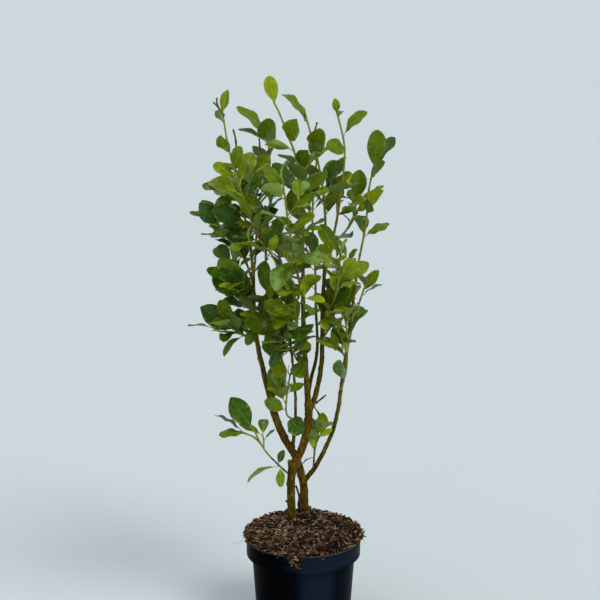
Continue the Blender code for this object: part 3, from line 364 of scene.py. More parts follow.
def length(name, description, default):
    """A length that a user can change."""
    return FloatProperty(name=name, description=description, default=default, min=0.0,
                         precision=5, unit="LENGTH", subtype="DISTANCE")


# Growth, by the rule of the solids.

def smooth_route(waypoints, spacing):
    """Evenly spaced points on a Catmull-Rom curve through the waypoints."""
    stops = [Vector(point) for point in waypoints]
    stops = [stops[0] * 2 - stops[1]] + stops + [stops[-1] * 2 - stops[-2]]
    fine = []
    for a, b, c, d in zip(stops, stops[1:], stops[2:], stops[3:]):
        for step in range(ROUTE_STEPS):
            t = step / ROUTE_STEPS
            fine.append(0.5 * (2 * b + (c - a) * t + (2 * a - 5 * b + 4 * c - d) * t * t
                               + (3 * b - a - 3 * c + d) * t ** 3))
    fine.append(stops[-2])
    lengths = [(q - p).length for p, q in zip(fine, fine[1:])]
    count = max(2, round(sum(lengths) / spacing))
    even, wanted, done = [fine[0]], sum(lengths) / count, 0.0
    for index, run in enumerate(lengths):
        while done + run >= wanted * len(even) - 1e-9 and len(even) <= count:
            share = (wanted * len(even) - done) / run
            even.append(fine[index].lerp(fine[index + 1], min(share, 1.0)))
        done += run
    return even


def square_to(direction, hint):
    """The part of hint that is square to direction, at unit length."""
    across = hint - direction * hint.dot(direction)
    if across.length < 1e-4:
        across = direction.orthogonal()
    return across.normalized()


def turned_way(side, other, angle):
    """Unit way at an angle from side towards other, which are square to each other."""
    return side * math.cos(angle) + other * math.sin(angle)


def outward(heading, angle):
    """Way out from a shoot, square to its heading, at an angle round it."""
    side = square_to(heading, Vector((1, 0, 0)))
    return turned_way(side, heading.cross(side), angle)


def ring_faces(size, rings, first=0, inward=False):
    """Quads between rings of corners that follow each other from the vertex first."""
    faces = []
    for low in range(first, first + (rings - 1) * size, size):
        high = low + size
        for corner in range(size):
            after = (corner + 1) % size
            if inward:
                faces.append((low + corner, high + corner, high + after, low + after))
            else:
                faces.append((low + corner, low + after, high + after, high + corner))
    return faces


def closed_tube(size, rings):
    """Quads between rings of corners, with a face at each end."""
    last = (rings - 1) * size
    ends = [tuple(reversed(range(size))), tuple(range(last, last + size))]
    return ring_faces(size, rings) + ends


class Shoot:
    """A round limb or twig that tapers along a smooth route."""

    def __init__(self, waypoints, foot_radius, tip_radius, spacing,
                 first_heading=None, flare=0.0, flare_length=ROOT_FLARE_HEIGHT):
        self.waypoints = waypoints
        self.centres = smooth_route(waypoints, spacing)
        self.step = (self.centres[1] - self.centres[0]).length
        self.length = self.step * (len(self.centres) - 1)
        self.foot_radius = foot_radius
        self.tip_radius = tip_radius
        self.first_heading = first_heading
        self.flare = flare
        self.flare_length = flare_length

    def heading(self, index):
        if index == 0 and self.first_heading:
            return self.first_heading
        before = self.centres[max(index - 1, 0)]
        after = self.centres[min(index + 1, len(self.centres) - 1)]
        return (after - before).normalized()

    def at(self, distance):
        """Centre and heading at a distance along the shoot."""
        place = min(max(distance / self.step, 0.0), len(self.centres) - 1.001)
        index = int(place)
        centre = self.centres[index].lerp(self.centres[index + 1], place - index)
        return centre, self.heading(index).lerp(self.heading(index + 1), place - index).normalized()

    def radius(self, distance):
        share = min(max(distance / self.length, 0.0), 1.0)
        flare = self.flare * math.exp(-distance / self.flare_length)
        return self.foot_radius + (self.tip_radius - self.foot_radius) * share + flare

    def nearest(self, point):
        """Distance along the shoot at which it passes closest to a point."""
        best = (1e9, 0.0)
        for index, (p, q) in enumerate(zip(self.centres, self.centres[1:])):
            share = min(max(intersect_point_line(point, p, q)[1], 0.0), 1.0)
            gap = (point - p.lerp(q, share)).length
            best = min(best, (gap, (index + share) * self.step))
        return best[1]

    def foot_for(self, target):
        """Distance along the shoot from which a leaf or a twig slants up to a target."""
        near = self.nearest(target)
        centre, heading = self.at(near)
        gap = target - centre
        across = (gap - heading * gap.dot(heading)).length
        return min(max(near - TWIG_LEAD * across, TWIG_SPACING), self.length)

    def tube(self, sides, extra=0.0, relief=None):
        """Tube round the route, thicker and longer by extra, with an uneven skin by relief."""
        verts = []
        side = square_to(self.heading(0), Vector((1, 0, 0)))
        last = len(self.centres) - 1
        for index, middle in enumerate(self.centres):
            heading = self.heading(index)
            side = square_to(heading, side)
            other = heading.cross(side)
            distance = index * self.step
            radius = self.radius(distance) + extra
            if index == 0:
                middle = middle - heading * extra
            if index == last:
                middle = middle + heading * extra
            for corner in range(sides):
                angle = 2 * math.pi * corner / sides
                skin = relief(distance, angle, radius) if relief else 0.0
                verts.append(middle + turned_way(side, other, angle) * (radius + skin))
        return verts, closed_tube(sides, last + 1)


def coarse_leaf(leaf, extra=0.0, blade_only=False):
    """The solids' leaf, which the rule tests for room: three-cornered rings to a point."""
    chord = leaf.tip - leaf.root
    along = chord.normalized()
    face = square_to(along, leaf.face)
    side = along.cross(face)
    arch = LEAF_ARCH * chord.length
    stations = [(0.0, STALK_ROOT_RADIUS, STALK_ROOT_RADIUS)]
    for share, width in BLADE_OUTLINE:
        half = max(width * leaf.width / 2, STALK_RADIUS)
        stations.append((STALK_SHARE + (1 - STALK_SHARE) * share, half, LEAF_KEEL))
    if blade_only:
        stations = stations[2:]
    verts = []
    for share, half, keel in stations:
        middle = leaf.root + chord * share + face * arch * 4 * share * (1 - share)
        slant = (along + face * 4 * LEAF_ARCH * (1 - 2 * share)).normalized()
        top = side.cross(slant)
        verts += [middle - side * (half + extra) + top * extra,
                  middle + side * (half + extra) + top * extra,
                  middle - top * (keel + extra)]
    verts.append(leaf.tip + along * extra)
    tip = len(verts) - 1
    faces = ring_faces(3, len(stations), inward=True)
    faces += [(tip - 3 + corner, tip, tip - 3 + (corner + 1) % 3) for corner in range(3)]
    faces.append((0, 1, 2))
    return verts, faces


class Space:
    """What has been placed so far, so that later twigs and leaves keep clear of it."""

    def __init__(self):
        self.rows = []

    def add(self, owner, mesh_data):
        self.rows.append((owner, box_of(mesh_data[0]), BVHTree.FromPolygons(*mesh_data)))

    def touches(self, mesh_data, but_not=()):
        low, high = box_of(mesh_data[0])
        tree = BVHTree.FromPolygons(*mesh_data)
        for owner, (other_low, other_high), other in self.rows:
            if owner in but_not:
                continue
            apart = any(low[axis] > other_high[axis] or other_low[axis] > high[axis]
                        for axis in range(3))
            if not apart and tree.overlap(other):
                return True
        return False


def box_of(verts):
    return ([min(vert[axis] for vert in verts) for axis in range(3)],
            [max(vert[axis] for vert in verts) for axis in range(3)])


def inside_crown(point):
    """Whether a leaf's tip keeps within the crown's outline at its height."""
    if not CROWN[0][0] <= point.z <= CROWN[-1][0]:
        return False
    for lower, upper in zip(CROWN, CROWN[1:]):
        if point.z <= upper[0]:
            share = (point.z - lower[0]) / (upper[0] - lower[0])
            left, right, deep = (low + (high - low) * share
                                 for low, high in zip(lower[1:], upper[1:]))
            across = point.x / (right if point.x > 0 else left)
            return across ** 2 + (point.y / deep) ** 2 < 1
    return False


def lit_face(root, rng, scatter=FACE_SCATTER):
    """Way that a leaf's upper side turns: to the light, a little outwards, and at random."""
    level = Vector((root.x, root.y, 0))
    jitter = Vector([rng.uniform(-scatter, scatter) for _ in range(3)])
    return Vector(LIGHT) + level.normalized() * OUTWARD_LEAN + jitter


def limb_shoots(space):
    """The shoot of each limb, with its place taken in the space."""
    shoots = {}
    for limb in LIMBS:
        route = [Vector(point) for point in limb.route]
        first_heading = None
        if limb.joins == "ground":
            first_heading = Vector((0, 0, 1))
        if limb.joins == "tip":
            parent = shoots[limb.parent]
            first_heading = parent.heading(len(parent.centres) - 1)
            route[0] = parent.centres[-1] + first_heading * CLEARANCE
        flare = ROOT_FLARE if limb.joins == "ground" else 0.0
        shoot = Shoot(route, limb.foot_radius, limb.tip_radius, LIMB_SPACING,
                      first_heading, flare)
        shoots[limb.name] = shoot
        space.add(limb.name, shoot.tube(LIMB_SIDES))
    return shoots


class Growth:
    """One mass of foliage: its stem, the twigs on it and the leaves on them all."""

    def __init__(self, mass, limb, space):
        self.mass = mass
        self.space = space
        self.rng = random.Random(mass.seed)
        self.twigs = []
        self.leaves = []
        route = [Vector(point) for point in mass.route]
        limb_distance = limb.nearest(route[0])
        heading = None
        if limb_distance > limb.length - TWIG_SPACING / 3:
            heading = limb.heading(len(limb.centres) - 1)
            route[0] = limb.centres[-1] + heading * CLEARANCE
        else:
            centre, limb_heading = limb.at(limb_distance)
            out = square_to(limb_heading, route[1] - centre)
            route[0] = centre + out * (limb.radius(limb_distance) + CLEARANCE)
        self.joins_tip = heading is not None
        self.stem = Shoot(route, mass.foot_radius, TWIG_TIP_RADIUS, TWIG_SPACING, heading)
        space.add(mass.name, self.stem.tube(TWIG_SIDES))

    def grow_to_reaches(self):
        """Bring a leaf, on a twig of its own where it is far, to each reach."""
        for *tip, to_front, tone in self.mass.reaches:
            target = Vector(tip)
            shoots = [self.stem] + self.twigs
            roots = [shoot.at(shoot.foot_for(target))[0] for shoot in shoots]
            root = min(roots, key=lambda point: (target - point).length)
            if (target - root).length > LONGEST_LEAF_REACH:
                twig = self.grow_twig(target)
                if not twig:
                    continue
                root = twig.centres[-1]
            self.add_outline_leaf(root, target, to_front, tone)

    def grow_twig(self, target):
        """Grow a twig from the stem that stops an outline leaf's reach short of target."""
        root, heading = self.stem.at(self.stem.foot_for(target))
        run = (target - root).normalized()
        end = target - run * OUTLINE_LEAF_REACH
        middle = root.lerp(end, 0.5) + (heading - run) * TWIG_BOW
        return self.keep_twig((root, middle, end), SIDE_TWIG_RADIUS, TWIG_SPACING)

    def keep_twig(self, route, radius, spacing):
        """Keep a twig if it is clear of what isn't its own mass."""
        twig = Shoot(route, radius, min(radius, TWIG_TIP_RADIUS), spacing)
        if self.space.touches(twig.tube(TWIG_SIDES, CLEARANCE), (self.mass.name,)):
            return None
        self.twigs.append(twig)
        self.space.add(self.mass.name, twig.tube(TWIG_SIDES))
        return twig

    def add_outline_leaf(self, root, target, to_front, tone):
        """Add the leaf of a reach, and turn it otherwise until it has room."""
        for attempt in range(LEAF_TRIES):
            face = lit_face(root, self.rng, OUTLINE_SCATTER + RETRY_SCATTER * attempt)
            face += Vector(TURNED_TO_FRONT) * to_front * (1 - attempt / LEAF_TRIES)
            width = (target - root).length * (1 - STALK_SHARE) * self.rng.uniform(*LEAF_ASPECTS)
            if self.place(Leaf(root, target, face, width, tone)):
                return

    def place(self, leaf):
        """Keep a leaf if it is clear of every other limb, twig and leaf."""
        name = self.mass.name
        if self.space.touches(coarse_leaf(leaf, LEAF_MARGIN), (name,)):
            return False
        if self.space.touches(coarse_leaf(leaf, LEAF_MARGIN, blade_only=True)):
            return False
        self.leaves.append(leaf)
        self.space.add(name, coarse_leaf(leaf))
        return True

    def grow_leaves(self):
        """Set leaves in a spiral up the stem and the twigs, at most two at a place."""
        nodes = []
        for shoot in [self.stem] + self.twigs:
            start, end = self.mass.leafy if shoot is self.stem else TWIG_LEAFY
            count = max(1, int((end - start) * shoot.length / INTERNODE))
            turn = self.rng.uniform(0, 2 * math.pi)
            for index in range(count + 1):
                share = start + (end - start) * index / count
                distance = min(share * shoot.length, shoot.length - SIDE_TWIG_RADIUS)
                nodes.append((shoot, distance, turn + index * LEAF_TURN))
        self.rng.shuffle(nodes)
        nodes.sort(key=lambda node: node[1] < node[0].length - INTERNODE / 2)
        for shoot, distance, turn in nodes * 2:
            if len(self.leaves) >= self.mass.leaves:
                break
            self.grow_leaf(shoot, distance, turn)

    def grow_leaf(self, shoot, distance, turn, lengths=LEAF_LENGTHS, spreads=LEAF_SPREADS):
        """Add a leaf at a distance along a shoot, and move it round until it has room."""
        for attempt in range(LEAF_TRIES):
            root, heading = shoot.at(distance)
            angle = turn + self.rng.uniform(-LEAF_TURN_SCATTER, LEAF_TURN_SCATTER)
            out = outward(heading, angle + attempt * RETRY_TURN)
            spread = self.rng.uniform(*spreads)
            direction = turned_way(heading, out, spread)
            blade = self.rng.uniform(*lengths) * (1 - RETRY_SHRINK * attempt)
            tip = root + direction * blade / (1 - STALK_SHARE)
            if not inside_crown(tip):
                continue
            face = lit_face(root, self.rng)
            width = blade * self.rng.uniform(*LEAF_ASPECTS)
            if self.place(Leaf(root, tip, face, width, BY_AGE)):
                return

    def grow_finer(self, shoot_length, spacing):
        """Carry the rule on: young leaves at the tips, and short side shoots with small leaves."""
        if self.mass.name in OPEN_MASSES:
            spacing *= OPEN_SPACING
        else:
            self.grow_tip_leaves()
        start, end = self.mass.leafy
        count = int((end - start) * self.stem.length / spacing)
        for index in range(count):
            share = start + (end - start) * (index + 0.5) / count
            self.grow_side_shoot(share * self.stem.length, shoot_length)

    def grow_tip_leaves(self):
        for shoot in [self.stem] + self.twigs:
            for index, turn in enumerate(TIP_LEAF_TURNS):
                distance = shoot.length - SIDE_TWIG_RADIUS - TIP_LEAF_SPACING * index
                self.grow_leaf(shoot, distance, turn, TIP_LEAF_LENGTHS, TIP_LEAF_SPREADS)

    def grow_side_shoot(self, distance, shoot_length):
        root, heading = self.stem.at(distance)
        angle = self.rng.uniform(0, 2 * math.pi)
        out = outward(heading, angle)
        reach = shoot_length * self.rng.uniform(*SIDE_SHOOT_SHARES)
        end = root + (heading * SIDE_SHOOT_RISE + out * SIDE_SHOOT_SPREAD) * reach
        middle = root.lerp(end, 0.5) + out * reach * SIDE_SHOOT_BOW
        twig = self.keep_twig((root, middle, end), SIDE_SHOOT_RADIUS, reach / 2)
        if twig:
            for share, turn in SIDE_SHOOT_LEAVES:
                self.grow_leaf(twig, share * twig.length, angle + turn, SMALL_LEAF_LENGTHS)


@functools.lru_cache(maxsize=None)
def grow_plant(shoot_length, spacing):
    """Shoots of the limbs and the growth of each mass, which several pieces are made from."""
    space = Space()
    shoots = limb_shoots(space)
    growths = [Growth(mass, shoots[mass.limb], space) for mass in MASSES]
    for growth in growths:
        growth.grow_to_reaches()
    for growth in growths:
        growth.grow_leaves()
    for growth in growths:
        growth.grow_finer(shoot_length, spacing)
    return shoots, growths


def grown(context):
    twigs = context.scene.broadleaf_twigs
    return grow_plant(twigs.side_shoot_length, twigs.side_shoot_spacing)


# Meshes and materials.

class Shape:
    """Vertices and painted faces gathered for one joined mesh."""

    def __init__(self):
        self.verts, self.faces, self.paints = [], [], []

    def add(self, mesh_data, paint=0):
        """Add a mesh, with one paint for all its faces or a list of them."""
        verts, faces = mesh_data
        start = len(self.verts)
        self.verts += verts
        self.faces += [[start + corner for corner in face] for face in faces]
        self.paints += paint if isinstance(paint, list) else [paint] * len(faces)


def add_piece(name, shape, materials, replaced=()):
    """Make a piece that rides on the plant, with its materials, and stands for the solids it hides."""
    mesh = bpy.data.meshes.new(name)
    mesh.from_pydata(shape.verts, [], shape.faces)
    for material in materials:
        mesh.materials.append(material)
    mesh.polygons.foreach_set("material_index", shape.paints)
    mesh.shade_smooth()
    mesh.set_sharp_from_angle(angle=SHARP_EDGE)
    mesh.validate()
    piece = bpy.data.objects.new(name, mesh)
    bpy.context.scene.collection.objects.link(piece)
    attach(piece, "root")
    if replaced:
        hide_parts(*replaced)
    return piece


def add_node(material, kind, inputs=(), **settings):
    """Add a node, with its settings, and set each input or link it from a socket."""
    tree = material.node_tree
    made = tree.nodes.new(kind)
    for name, value in settings.items():
        setattr(made, name, value)
    for name, value in dict(inputs).items():
        if isinstance(value, bpy.types.NodeSocket):
            tree.links.new(value, made.inputs[name])
        else:
            made.inputs[name].default_value = value
    return made


def finish_material(name, roughness, colour, bump=None, **constants):
    """A new material, its shader fed by what colour and bump add from its object coordinates."""
    material = bpy.data.materials.new(name)
    material.use_nodes = True
    shader = material.node_tree.nodes["Principled BSDF"]
    shader.inputs["Roughness"].default_value = roughness
    for socket, value in constants.items():
        shader.inputs[socket.replace("_", " ")].default_value = value
    place = add_node(material, "ShaderNodeTexCoord").outputs["Object"]
    links = material.node_tree.links
    links.new(colour(material, place), shader.inputs["Base Color"])
    if bump:
        links.new(bump(material, place), shader.inputs["Normal"])
    return material


def tinted(material, under, over, value, low, high, most=1.0, within=None, shape="LINEAR"):
    """Socket of a colour with a tint laid over it more and more as a value goes from low to
    high, and only where the share within allows it."""
    amount = add_node(material, "ShaderNodeMapRange",
                      {"Value": value, "From Min": low, "From Max": high, "To Max": most},
                      interpolation_type=shape).outputs[0]
    if within:
        amount = add_node(material, "ShaderNodeMath", {0: amount, 1: within},
                          operation="MULTIPLY").outputs[0]
    if not isinstance(under, bpy.types.NodeSocket):
        under = (*under, 1)
    return add_node(material, "ShaderNodeMix", {0: amount, 6: under, 7: (*over, 1)},
                    data_type="RGBA").outputs[2]


def mottled(first, second, spot_mm, low=0.4, high=0.6):
    """Colour maker: two colours in soft spots of a real size."""
    def colour(material, place):
        spots = add_node(material, "ShaderNodeTexNoise",
                         {"Vector": place, "Scale": 1 / (spot_mm * MM), "Detail": 3.0})
        return tinted(material, first, second, spots.outputs[0], low, high)
    return colour


def uneven(grain_mm, height_mm, strength=1.0):
    """Bump maker: a grain of a real size and height."""
    def bump(material, place):
        grain = add_node(material, "ShaderNodeTexNoise",
                         {"Vector": place, "Scale": 1 / (grain_mm * MM), "Detail": 4.0})
        raised = add_node(material, "ShaderNodeBump",
                          {"Height": grain.outputs[0], "Distance": height_mm * MM,
                           "Strength": strength})
        return raised.outputs[0]
    return bump


def shade(colour, factor):
    return tuple(min(part * factor, 1.0) for part in colour)


def polar(radius, angle):
    return radius * math.cos(angle), radius * math.sin(angle)


# Pot.

POT_SEGMENTS = 144
POT_CORNER = 0.0009
CORNER_STEPS = 4
FOOT_RING = 0.012
FOOT_RECESS = 0.0018
FOOT_BEVEL = 0.003
FLOOR_HEIGHT = 0.006
STEP_INNER_RISE = 0.001
# A corner's curve takes in at most one part in this many of the next side.
CORNER_PART = 2.2
# Heights below the lip's top where its speckled dusting and painted highlight start and are full.
DUST_AND_HIGHLIGHT_START = 0.0012
DUST_AND_HIGHLIGHT_FULL = 0.0004
BAND_EDGE_SHARE = 0.8
# Painted light laid over the pot in turn: a paler lit side, a painted sheen on the band and
# down the body, and a painted reflection at the band's left edge. Each row holds the setting,
# the way round the pot that it faces in degrees, how far a place turns that way where it
# starts and where it is full, and whether it keeps to the band.
POT_TINTS = (
    ("lit_side", -50, 0.30, 1.00, False),
    ("rubbed", -50, 0.35, 0.95, True),
    ("rubbed", -74, 0.89, 1.00, False),
    ("grey_edge", -174, 0.93, 1.00, True),
)


class PotSettings(bpy.types.PropertyGroup):
    band_height: length("Band height", "Height of the conical band under the lip", 0.026)
    band_foot_radius: length("Band foot radius", "Radius at the foot of the band", 0.0832)
    body_top_radius: length("Body top radius", "Radius of the body under the band", 0.0750)
    base_radius: length("Base radius", "Radius of the body at its foot", 0.0682)
    step_height: length("Step height", "Height of the step under the band", 0.005)
    lip_height: length("Lip height", "Height of the lip", 0.003)
    lip_overhang: length("Lip overhang", "How far the lip stands out from the band", 0.0015)
    wall: length("Wall", "Thickness of the wall", 0.0014)
    plastic: tint("Plastic", "Black plastic of the pot", "000103")
    scuff: tint("Scuffs", "Where the plastic is dusty", "03060A")
    # Painted light: the pot's front-right side is painted paler, as if lit.
    lit_side: tint("Greyed side", "The side that has greyed in the light", "050D15")
    # Painted sheen: over the band's front-right half and in a soft strip down the body.
    rubbed: tint("Rubbed plastic", "Where handling has rubbed the plastic paler", "131E2A")
    # Painted reflection: a greyer strip at the band's left edge.
    grey_edge: tint("Grey edge", "Where the band is scraped", "1B2026")
    # A speckled dusting of peat on the lip, which is also a painted highlight along the lip's top.
    dust: tint("Dust", "Peat dust on the lip", "4E473C")


def rounded(profile, radius):
    """A profile with each corner inside it turned into a short curve."""
    corners = [Vector(point) for point in profile]
    points = [corners[0]]
    for before, corner, after in zip(corners, corners[1:], corners[2:]):
        start, end = (corner + run.normalized() * min(radius, run.length / CORNER_PART)
                      for run in (before - corner, after - corner))
        for step in range(CORNER_STEPS + 1):
            t = step / CORNER_STEPS
            points.append(start.lerp(corner, t).lerp(corner.lerp(end, t), t))
    return points + [corners[-1]]


def turned(profile, segments):
    """Turn an outline of radius and height, whose ends may lie on the axis, round Z."""
    verts, faces, rings = [], [], []
    for radius, height in profile:
        if radius == 0:
            rings.append([len(verts)] * segments)
            verts.append(Vector((0, 0, height)))
            continue
        rings.append(list(range(len(verts), len(verts) + segments)))
        for step in range(segments):
            verts.append(Vector((*polar(radius, 2 * math.pi * step / segments), height)))
    for lower, upper in zip(rings, rings[1:]):
        for step in range(segments):
            after = (step + 1) % segments
            face = list(dict.fromkeys((lower[step], lower[after], upper[after], upper[step])))
            if len(face) > 2:
                faces.append(face)
    return verts, faces


def moulded_polypropylene(pot):
    """Injection-moulded black plastic, dull: one side painted lit with a painted sheen, a painted
    reflection at the band's left edge, and a painted highlight on the dusty lip.
    """
    smooth = "SMOOTHERSTEP"

    def colour(material, place):
        height = add_node(material, "ShaderNodeSeparateXYZ", {0: place}).outputs[2]
        level = add_node(material, "ShaderNodeVectorMath", {0: place, 1: (1, 1, 0)},
                         operation="MULTIPLY")
        out = add_node(material, "ShaderNodeVectorMath", {0: level.outputs[0]},
                       operation="NORMALIZE")
        band_foot = POT_HEIGHT - pot.band_height
        on_band = add_node(material, "ShaderNodeMapRange",
                           {"Value": height, "From Min": band_foot,
                            "From Max": POT_HEIGHT - pot.band_height * BAND_EDGE_SHARE},
                           interpolation_type=smooth)
        painted = mottled(pot.plastic, pot.scuff, 9.0, 0.56, 0.80)(material, place)
        # Lay on the painted light: lit side, sheen and edge reflection.
        for setting, direction_deg, low, high, band_only in POT_TINTS:
            towards = (*polar(1, math.radians(direction_deg)), 0)
            facing = add_node(material, "ShaderNodeVectorMath", {0: out.outputs[0], 1: towards},
                              operation="DOT_PRODUCT")
            painted = tinted(material, painted, getattr(pot, setting), facing.outputs["Value"],
                             low, high, within=on_band.outputs[0] if band_only else None,
                             shape=smooth)
        # A painted highlight along the lip's top, speckled like a dusting of peat.
        on_lip = add_node(material, "ShaderNodeMapRange",
                          {"Value": height, "From Min": POT_HEIGHT - DUST_AND_HIGHLIGHT_START,
                           "From Max": POT_HEIGHT - DUST_AND_HIGHLIGHT_FULL}, interpolation_type=smooth)
        specks = add_node(material, "ShaderNodeTexNoise",
                          {"Vector": place, "Scale": 1 / (2.5 * MM), "Detail": 3.0})
        return tinted(material, painted, pot.dust, specks.outputs[0], 0.35, 0.60,
                      within=on_lip.outputs[0], shape=smooth)
    return finish_material("moulded_polypropylene", 0.34, colour, uneven(2.2, 0.10, 0.35),
                           IOR=1.49, Specular_IOR_Level=0.010)


class BROADLEAF_OT_pot(bpy.types.Operator):
    """Turn the nursery pot from its profile, lip, band, body and foot ring in one wall"""
    bl_idname = "broadleaf.pot"
    bl_label = "Nursery pot"

    def execute(self, context):
        pot = context.scene.broadleaf_pot
        band_foot = POT_HEIGHT - pot.band_height
        lip_foot = POT_HEIGHT - pot.lip_height
        profile = (
            (0, FOOT_RECESS),
            (pot.base_radius - FOOT_RING, FOOT_RECESS),
            (pot.base_radius - FOOT_RING + FOOT_RECESS, 0),
            (pot.base_radius - FOOT_BEVEL, 0),
            (pot.base_radius, FOOT_BEVEL),
            (pot.body_top_radius, band_foot - pot.step_height),
            (pot.band_foot_radius, band_foot),
            (POT_RADIUS - pot.lip_overhang, lip_foot),
            (POT_RADIUS, lip_foot),
            (POT_RADIUS, POT_HEIGHT),
            (POT_RADIUS - pot.lip_overhang - pot.wall, POT_HEIGHT),
            (pot.band_foot_radius - pot.wall, band_foot + STEP_INNER_RISE),
            (pot.body_top_radius - pot.wall, band_foot + STEP_INNER_RISE - pot.step_height),
            (pot.base_radius - pot.wall, FLOOR_HEIGHT),
            (0, FLOOR_HEIGHT),
        )
        shape = Shape()
        shape.add(turned(rounded(profile, POT_CORNER), POT_SEGMENTS))
        add_piece("nursery_pot", shape, [moulded_polypropylene(pot)], ["pot"])
        return {"FINISHED"}


# Potting mix.

HEAP_RINGS = 46
HEAP_SEGMENTS = 150
HEAP_FULLNESS = 2.6
# Sines of the way round the pot over which the heap's edge rises from below the lip in front
# to over it at the sides.
OVERFLOW_START = -0.50
OVERFLOW_SPAN = 0.45
# How far the heap's edge lies inside the lip in front, and how much further out and up it
# lies at the sides and behind.
HEAP_INSET = 0.0045
HEAP_SPREAD = 0.0050
HEAP_LIFT = 0.0058
HEAP_FOOT_RADIUS = 0.072
HEAP_FOOT_DEPTH = 0.018
# Lumps of the heap: their height, their width and their layer of the noise.
LUMPS = ((0.0022, 0.011, 0.0), (0.0010, 0.004, 0.05))

# Shapes of the chips: width and bend as shares of the length, thickness as a share of the
# width, how full a chip's ends are, where its waist lies, and how uneven its corners are.
CHIP_WIDTHS = (0.15, 0.42)
CHIP_THICKNESSES = (0.22, 0.55)
CHIP_BENDS = (-0.10, 0.14)
CHIP_FOOTS = (0.25, 0.9)
CHIP_POINTS = (0.15, 0.8)
CHIP_WAISTS = (-0.15, 0.15)
UNEVEN_WIDTHS = (0.8, 1.15)
UNEVEN_THICKNESSES = (0.6, 1.1)
# How far past the heap's edge chips lie at the sides, and how far they sink or stand out.
CHIP_OVERHANG = 0.0018
CHIP_RISES = (-0.0010, 0.0022)
# Share of the chips that lie flat, and how much they and the others tilt.
FLAT_CHIPS = 0.76
FLAT_TILT = 0.30
LOOSE_TILT = 0.9
# Where the mix is darkest with painted shade, in a hollow beside the front stem.
SHADED_HOLLOW = (0.008, -0.002)
SHADED_HOLLOW_RADIUS = 0.022
# How much paler the mix is painted towards the left, and the palest that it gets: it is darker to the
# middle and the right as painted shade from the stems.
PALER_TO_LEFT = 0.6
PALEST = 1.3
# Shares of the five barks, the gain of each where the mix is painted paler, and the first
# one's gain in the painted shade of the hollow.
BARK_SHARES = (46, 30, 14, 6, 1)
PALE_GAINS = (-18, -4, 10, 9, 2)
HOLLOW_SHADE_GAIN = 90
LONGEST_PALE_CHIP = 0.007
CHIP_SEED = 5
# The higher this is, the more of the chips are small.
CHIP_SMALLNESS = 2.0
CHIP_LEAN = 0.3
# One chip in so many has spilt over the lip, in a clump this way round the pot.
SPILT_ONE_IN = 45
SPILL_DIRECTION = math.radians(-101)
SPILL_WIDTH = 0.075
SPILL_DRIFT = 0.08
SPILL_RISE = 0.003
SPILL_DROP = 0.020
SPILL_INSET = 0.003
SPILL_BULGE = 0.004
SPILL_CURL_START = 0.35
SPILL_THINNING = 1.8
SPILL_NARROWING = 0.8
# How early in its fall the clump is clear of the lip.
SPILL_CLEARING = 4

FIBRE_SEED = 8
FIBRE_STEPS = 3
FIBRE_SIDES = 4
FIBRE_SPACING = 0.003
FIBRE_LENGTHS = (0.007, 0.023)
FIBRE_RADII = (0.00022, 0.00042)
FIBRE_RISES = (0.0008, 0.0030)
FIBRE_TAPER = 0.6
LARGEST_CURL = 0.9
# Share of the heap's radius over which fibres lie.
FIBRED_SHARE = 0.84
LIP_FIBRE_RADII = (0.00035, 0.0002)
# Fibres that stick out over the lip, each from the mix to its tip.
LIP_FIBRES = (
    ((-0.079, -0.020, 0.134), (-0.088, -0.024, 0.131), (-0.104, -0.028, 0.127)),
    ((0.080, -0.014, 0.134), (0.087, -0.018, 0.132), (0.089, -0.019, 0.124)),
    ((0.079, -0.006, 0.136), (0.088, -0.008, 0.137), (0.092, -0.009, 0.144)),
)


class MixSettings(bpy.types.PropertyGroup):
    rise: length("Rise", "How far the heap's middle stands above its edge", 0.028)
    edge_drop: length("Edge drop", "How far the heap's edge lies below the lip in front", 0.003)
    chips: IntProperty(name="Chips", description="Number of bark chips", default=6400, min=0)
    shortest_chip: length("Shortest chip", "Length of the shortest chip", 0.0028)
    longest_chip: length("Longest chip", "Length of the longest chip", 0.0130)
    fibres: IntProperty(name="Fibres", description="Number of loose fibres", default=520, min=0)
    peat: tint("Peat", "Damp peat between the chips", "0C0704")
    dark_bark: tint("Dark bark", "Composted bark", "1E130C")
    brown_bark: tint("Brown bark", "Weathered bark", "402A1B")
    red_bark: tint("Red bark", "Inner bark", "6E4E38")
    tan_wood: tint("Tan wood", "Weathered wood", "9A7F66")
    pale_wood: tint("Pale wood", "Freshly split wood", "C6B394")


def overflow(angle):
    """From 0 in front to 1 at the sides and behind, where the heap lies over the lip."""
    share = min(max((math.sin(angle) - OVERFLOW_START) / OVERFLOW_SPAN, 0.0), 1.0)
    return share * share * (3 - 2 * share)


def heap_edge(angle):
    """Radius of the heap's edge."""
    return POT_RADIUS - HEAP_INSET + HEAP_SPREAD * overflow(angle)


def heap_height(x, y, mix):
    """Height of the heaped mix, lumpy at the size of its chips."""
    angle = math.atan2(y, x)
    share = min(math.hypot(x, y) / heap_edge(angle), 1.0)
    lumps = sum(height * noise.noise(Vector((x, y, layer)) / width)
                for height, width, layer in LUMPS)
    edge = POT_HEIGHT - mix.edge_drop + HEAP_LIFT * overflow(angle)
    middle = POT_HEIGHT - mix.edge_drop + mix.rise
    return edge + (middle - edge) * (1 - share ** HEAP_FULLNESS) + lumps


